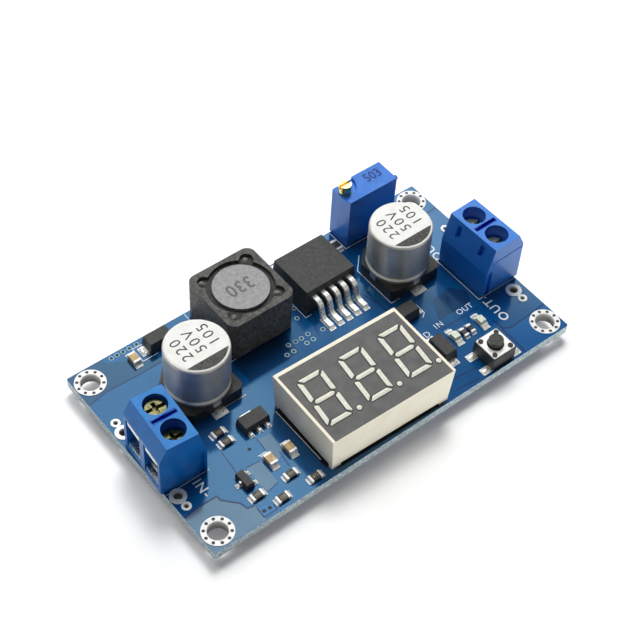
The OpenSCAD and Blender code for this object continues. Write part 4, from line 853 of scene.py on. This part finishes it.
GREY_LIFT, JOINT_LIFT, CAP_LIFT, RIDGE_LIFT = 0.004, 0.008, 0.012, 0.09
GREY_SPREAD, JOINT_SPREAD, JOINT_SHADE_SHIFT = 0.06, 0.15, 0.04
CAP_INSET = 0.035
TIP_CUT, TIP_LIMIT = 0.2, 80
CORNER_CUT, CORNER_LIMIT = 0.08, 150
MIDDLE_CORNERS, MIDDLE_STRETCH = 6, 1.09    # the middle bar of a digit is a hexagon, cut a little short
LONG_REACH = 0.9                            # a bar reaches further from its middle than a point does
BAR_RIDGE, POINT_RIDGE = (0.86, 0.25), (0.4, 0.4)   # size of the ridge along and across
WELD = 1e-6                                 # in m
UPWARD = 0.9                                # least Z of the normal of a face on top

spin = Matrix.Rotation(math.radians(DISP_TURN), 2)
src = bmesh.new()
src.from_mesh(nodes["display_segments"].data)
bmesh.ops.remove_doubles(src, verts=src.verts, dist=WELD)
highest = max(v.co.z for v in src.verts)
top_z = highest / MM
faces = [f for f in src.faces
         if f.normal.z > UPWARD and all(abs(v.co.z - highest) < WELD for v in f.verts)]
joints, caps = bmesh.new(), bmesh.new()
for verts in islands(faces):
    flat = [v.co.xy / MM for v in verts]
    mid = sum(flat, Vector((0, 0))) / len(flat)
    flat.sort(key=lambda p: math.atan2(p.y - mid.y, p.x - mid.x))
    face(joints, [(*p, top_z + GREY_LIFT) for p in offset(flat, -GREY_SPREAD)], 0)
    if len(flat) == MIDDLE_CORNERS:
        local = [spin.transposed() @ (p - mid) for p in flat]
        flat = [mid + spin @ Vector((MIDDLE_STRETCH * d.x, d.y)) for d in local]
    cap = blunt(blunt(offset(flat, CAP_INSET), TIP_CUT, TIP_LIMIT), CORNER_CUT, CORNER_LIMIT)
    # The dark joint sits shifted to the lower left, as painted shade on that side of each cap.
    face(joints, [(p.x - JOINT_SHADE_SHIFT, p.y - JOINT_SHADE_SHIFT, top_z + JOINT_LIFT)
                  for p in offset(cap, -JOINT_SPREAD)], 1)
    sides = [cap[i] - cap[i - 1] for i in range(len(cap))]
    axis = max(sides, key=lambda d: d.length).normalized()
    cross = Vector((-axis.y, axis.x))
    is_bar = max((p - mid).length for p in cap) > LONG_REACH
    along, across = BAR_RIDGE if is_bar else POINT_RIDGE
    lower = [caps.verts.new((*p, top_z + CAP_LIFT)) for p in cap]
    upper = []
    for p in cap:
        d = p - mid
        q = mid + axis * d.dot(axis) * along + cross * d.dot(cross) * across
        upper.append(caps.verts.new((*q, top_z + RIDGE_LIFT)))
    caps.faces.new(upper)
    for i in range(len(cap)):
        caps.faces.new((lower[i - 1], lower[i], upper[i], upper[i - 1]))
src.free()
piece("display_joints", joints, ["display_ivory", "segment_line"])
piece("display_caps", caps, ["segment_milk"])

# Painted shade: a dark line on the board at the foot of the display's front and left walls, standing in
# for the shade under them
bm = bmesh.new()
xs, ys = zip(*(spin.transposed() @ (v.co.xy / MM - Vector(DISP_C))
               for v in nodes["display_housing"].data.vertices))
x0, x1, y0, y1 = min(xs), max(xs), min(ys), max(ys)
# Width of a line, how far it lies behind the wall and how far it stops short of the corners
FRONT_WIDTH, FRONT_IN, FRONT_SHORT = 0.7, 0.25, 1.1
LEFT_WIDTH, LEFT_IN, LEFT_SHORT = 0.8, 0.3, 1.0
for width, ends in (
    (FRONT_WIDTH, [(x0 + FRONT_SHORT, y0 + FRONT_IN), (x1 - FRONT_SHORT, y0 + FRONT_IN)]),
    (LEFT_WIDTH, [(x0 + LEFT_IN, y1 - LEFT_SHORT), (x0 + LEFT_IN, y0 + LEFT_SHORT)]),
):
    ribbon(bm, [spin @ Vector(p) + Vector(DISP_C) for p in ends], width, FOOT_Z)
piece("display_foot_shade", bm, ["foot_shade"])

# Spring dome of the button as a copy with its own mesh, in place of the CAD dome. On the real button it
# flattens under the plunger.
spring = bpy.data.objects.new("button_spring", nodes["button_dome"].data.copy())
scene.collection.objects.link(spring)
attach(spring, "board")
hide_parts("button_dome")
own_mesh(spring)


# Floor, lamps, surroundings and camera. Lengths are in m from here on.

def floor_finish():
    """White floor that keeps the shadow. It glows for the camera with distance, and lights the object
    from the open floor round the board, less so from the left."""
    near, far = 0.13, 0.9               # distance from the object
    near_level, far_level = 0.13, 1.0   # glow that the camera sees
    left, middle = -0.03, -0.01
    left_level, open_level, mirrored_level = 0.1, 0.8, 0.05
    board_half = {"X": 34.5 * MM, "Y": 18.9 * MM}
    f = Finish("floor_white")
    f.tree.nodes.remove(f.bsdf)
    at = f.coords["Object"]
    away = f.node("ShaderNodeVectorMath", {0: at}, operation="LENGTH")["Value"]
    seen = f.glow(f.span(away, near, far, near_level, far_level))
    place = f.split(at)
    outside = [f.calc("GREATER_THAN", f.calc("ABSOLUTE", place[axis]), half)
               for axis, half in board_half.items()]
    side = f.span(place["X"], left, middle, left_level, open_level)
    bounce = f.glow(f.calc("MULTIPLY", f.calc("MAXIMUM", *outside), side))
    mirrored = f.glow(mirrored_level)
    ray = f.node("ShaderNodeLightPath", {})
    unseen = f.either(ray["Is Glossy Ray"], bounce, mirrored)
    light = f.either(ray["Is Camera Ray"], unseen, seen)
    paint = f.node("ShaderNodeBsdfDiffuse", {"Color": (0.97, 0.97, 0.97, 1)})["BSDF"]
    both = f.node("ShaderNodeAddShader", {0: paint, 1: light})["Shader"]
    f.feed(f.tree.nodes["Material Output"], "Surface", both)
    return f.mat


FLOOR_HALF = 2
me = bpy.data.meshes.new("floor")
me.from_pydata([(*p, FLOOR * MM) for p in rectangle(0, 0, FLOOR_HALF, FLOOR_HALF)], [], [(0, 1, 2, 3)])
me.materials.append(floor_finish())
floor = bpy.data.objects.new("floor", me)
scene.collection.objects.link(floor)

# Name, place, size, power in W and whether glossy surfaces mirror it. All point at the object.
for name, at, size, power, shown in (
    ("softbox_back", (-0.02, 0.30, 0.50), (0.50, 0.42), 1.48, True),
    ("softbox_right", (0.42, 0.40, 0.50), (0.22, 0.20), 0.41, True),
    ("softbox_middle", (0.27, 0.32, 0.50), (0.12, 0.42), 0.10, True),
    ("softbox_left", (-0.55, -0.15, 0.40), (0.4, 0.4), 0.12, True),
    ("softbox_front", (0.25, -0.60, 0.35), (0.5, 0.3), 0.07, True),
    ("key_right", (0.22, 0.22, 0.67), (0.26, 0.26), 3.2, False),
):
    lamp = bpy.data.lights.new(name, "AREA")
    lamp.shape = "RECTANGLE"
    lamp.size, lamp.size_y = size
    lamp.energy = power
    o = bpy.data.objects.new(name, lamp)
    o.location = at
    o.rotation_euler = (-Vector(at)).to_track_quat("-Z", "Y").to_euler()
    o.visible_glossy = shown
    scene.collection.objects.link(o)

SEEN_LEVEL, SOFT_LEVEL, MIRRORED_LEVEL = 1.0, 0.075, 0.4
world = bpy.data.worlds.new("studio")
scene.world = world
studio = Graph(world)
seen = studio.tree.nodes["Background"]
studio.feed(seen, "Color", WHITE)
studio.feed(seen, "Strength", SEEN_LEVEL)
soft, mirrored = (studio.node("ShaderNodeBackground", {"Color": WHITE, "Strength": level})["Background"]
                  for level in (SOFT_LEVEL, MIRRORED_LEVEL))
ray = studio.node("ShaderNodeLightPath", {})
unseen = studio.either(ray["Is Glossy Ray"], soft, mirrored)
surround = studio.either(ray["Is Camera Ray"], unseen, seen.outputs["Background"])
studio.feed(studio.tree.nodes["World Output"], "Surface", surround)

scene.view_settings.view_transform = "Standard"
CAM_AT = Vector((-95.93, -106.60, 183.38)) * MM
CAM_FORWARD = Vector((0.42232, 0.47470, -0.77220)).normalized()
CAM_UP = Vector((0.45988, 0.62191, 0.63383)).normalized()
cam_data = bpy.data.cameras.new("camera")
cam_data.lens = 85.55
cam_data.sensor_width = 36.0
cam_data.clip_start = 0.005
cam_data.clip_end = 10.0
cam = bpy.data.objects.new("camera", cam_data)
scene.collection.objects.link(cam)
scene.camera = cam
right = CAM_FORWARD.cross(CAM_UP).normalized()
turn = Matrix((right, right.cross(CAM_FORWARD), -CAM_FORWARD)).transposed().to_4x4()
cam.matrix_world = Matrix.Translation(CAM_AT) @ turn
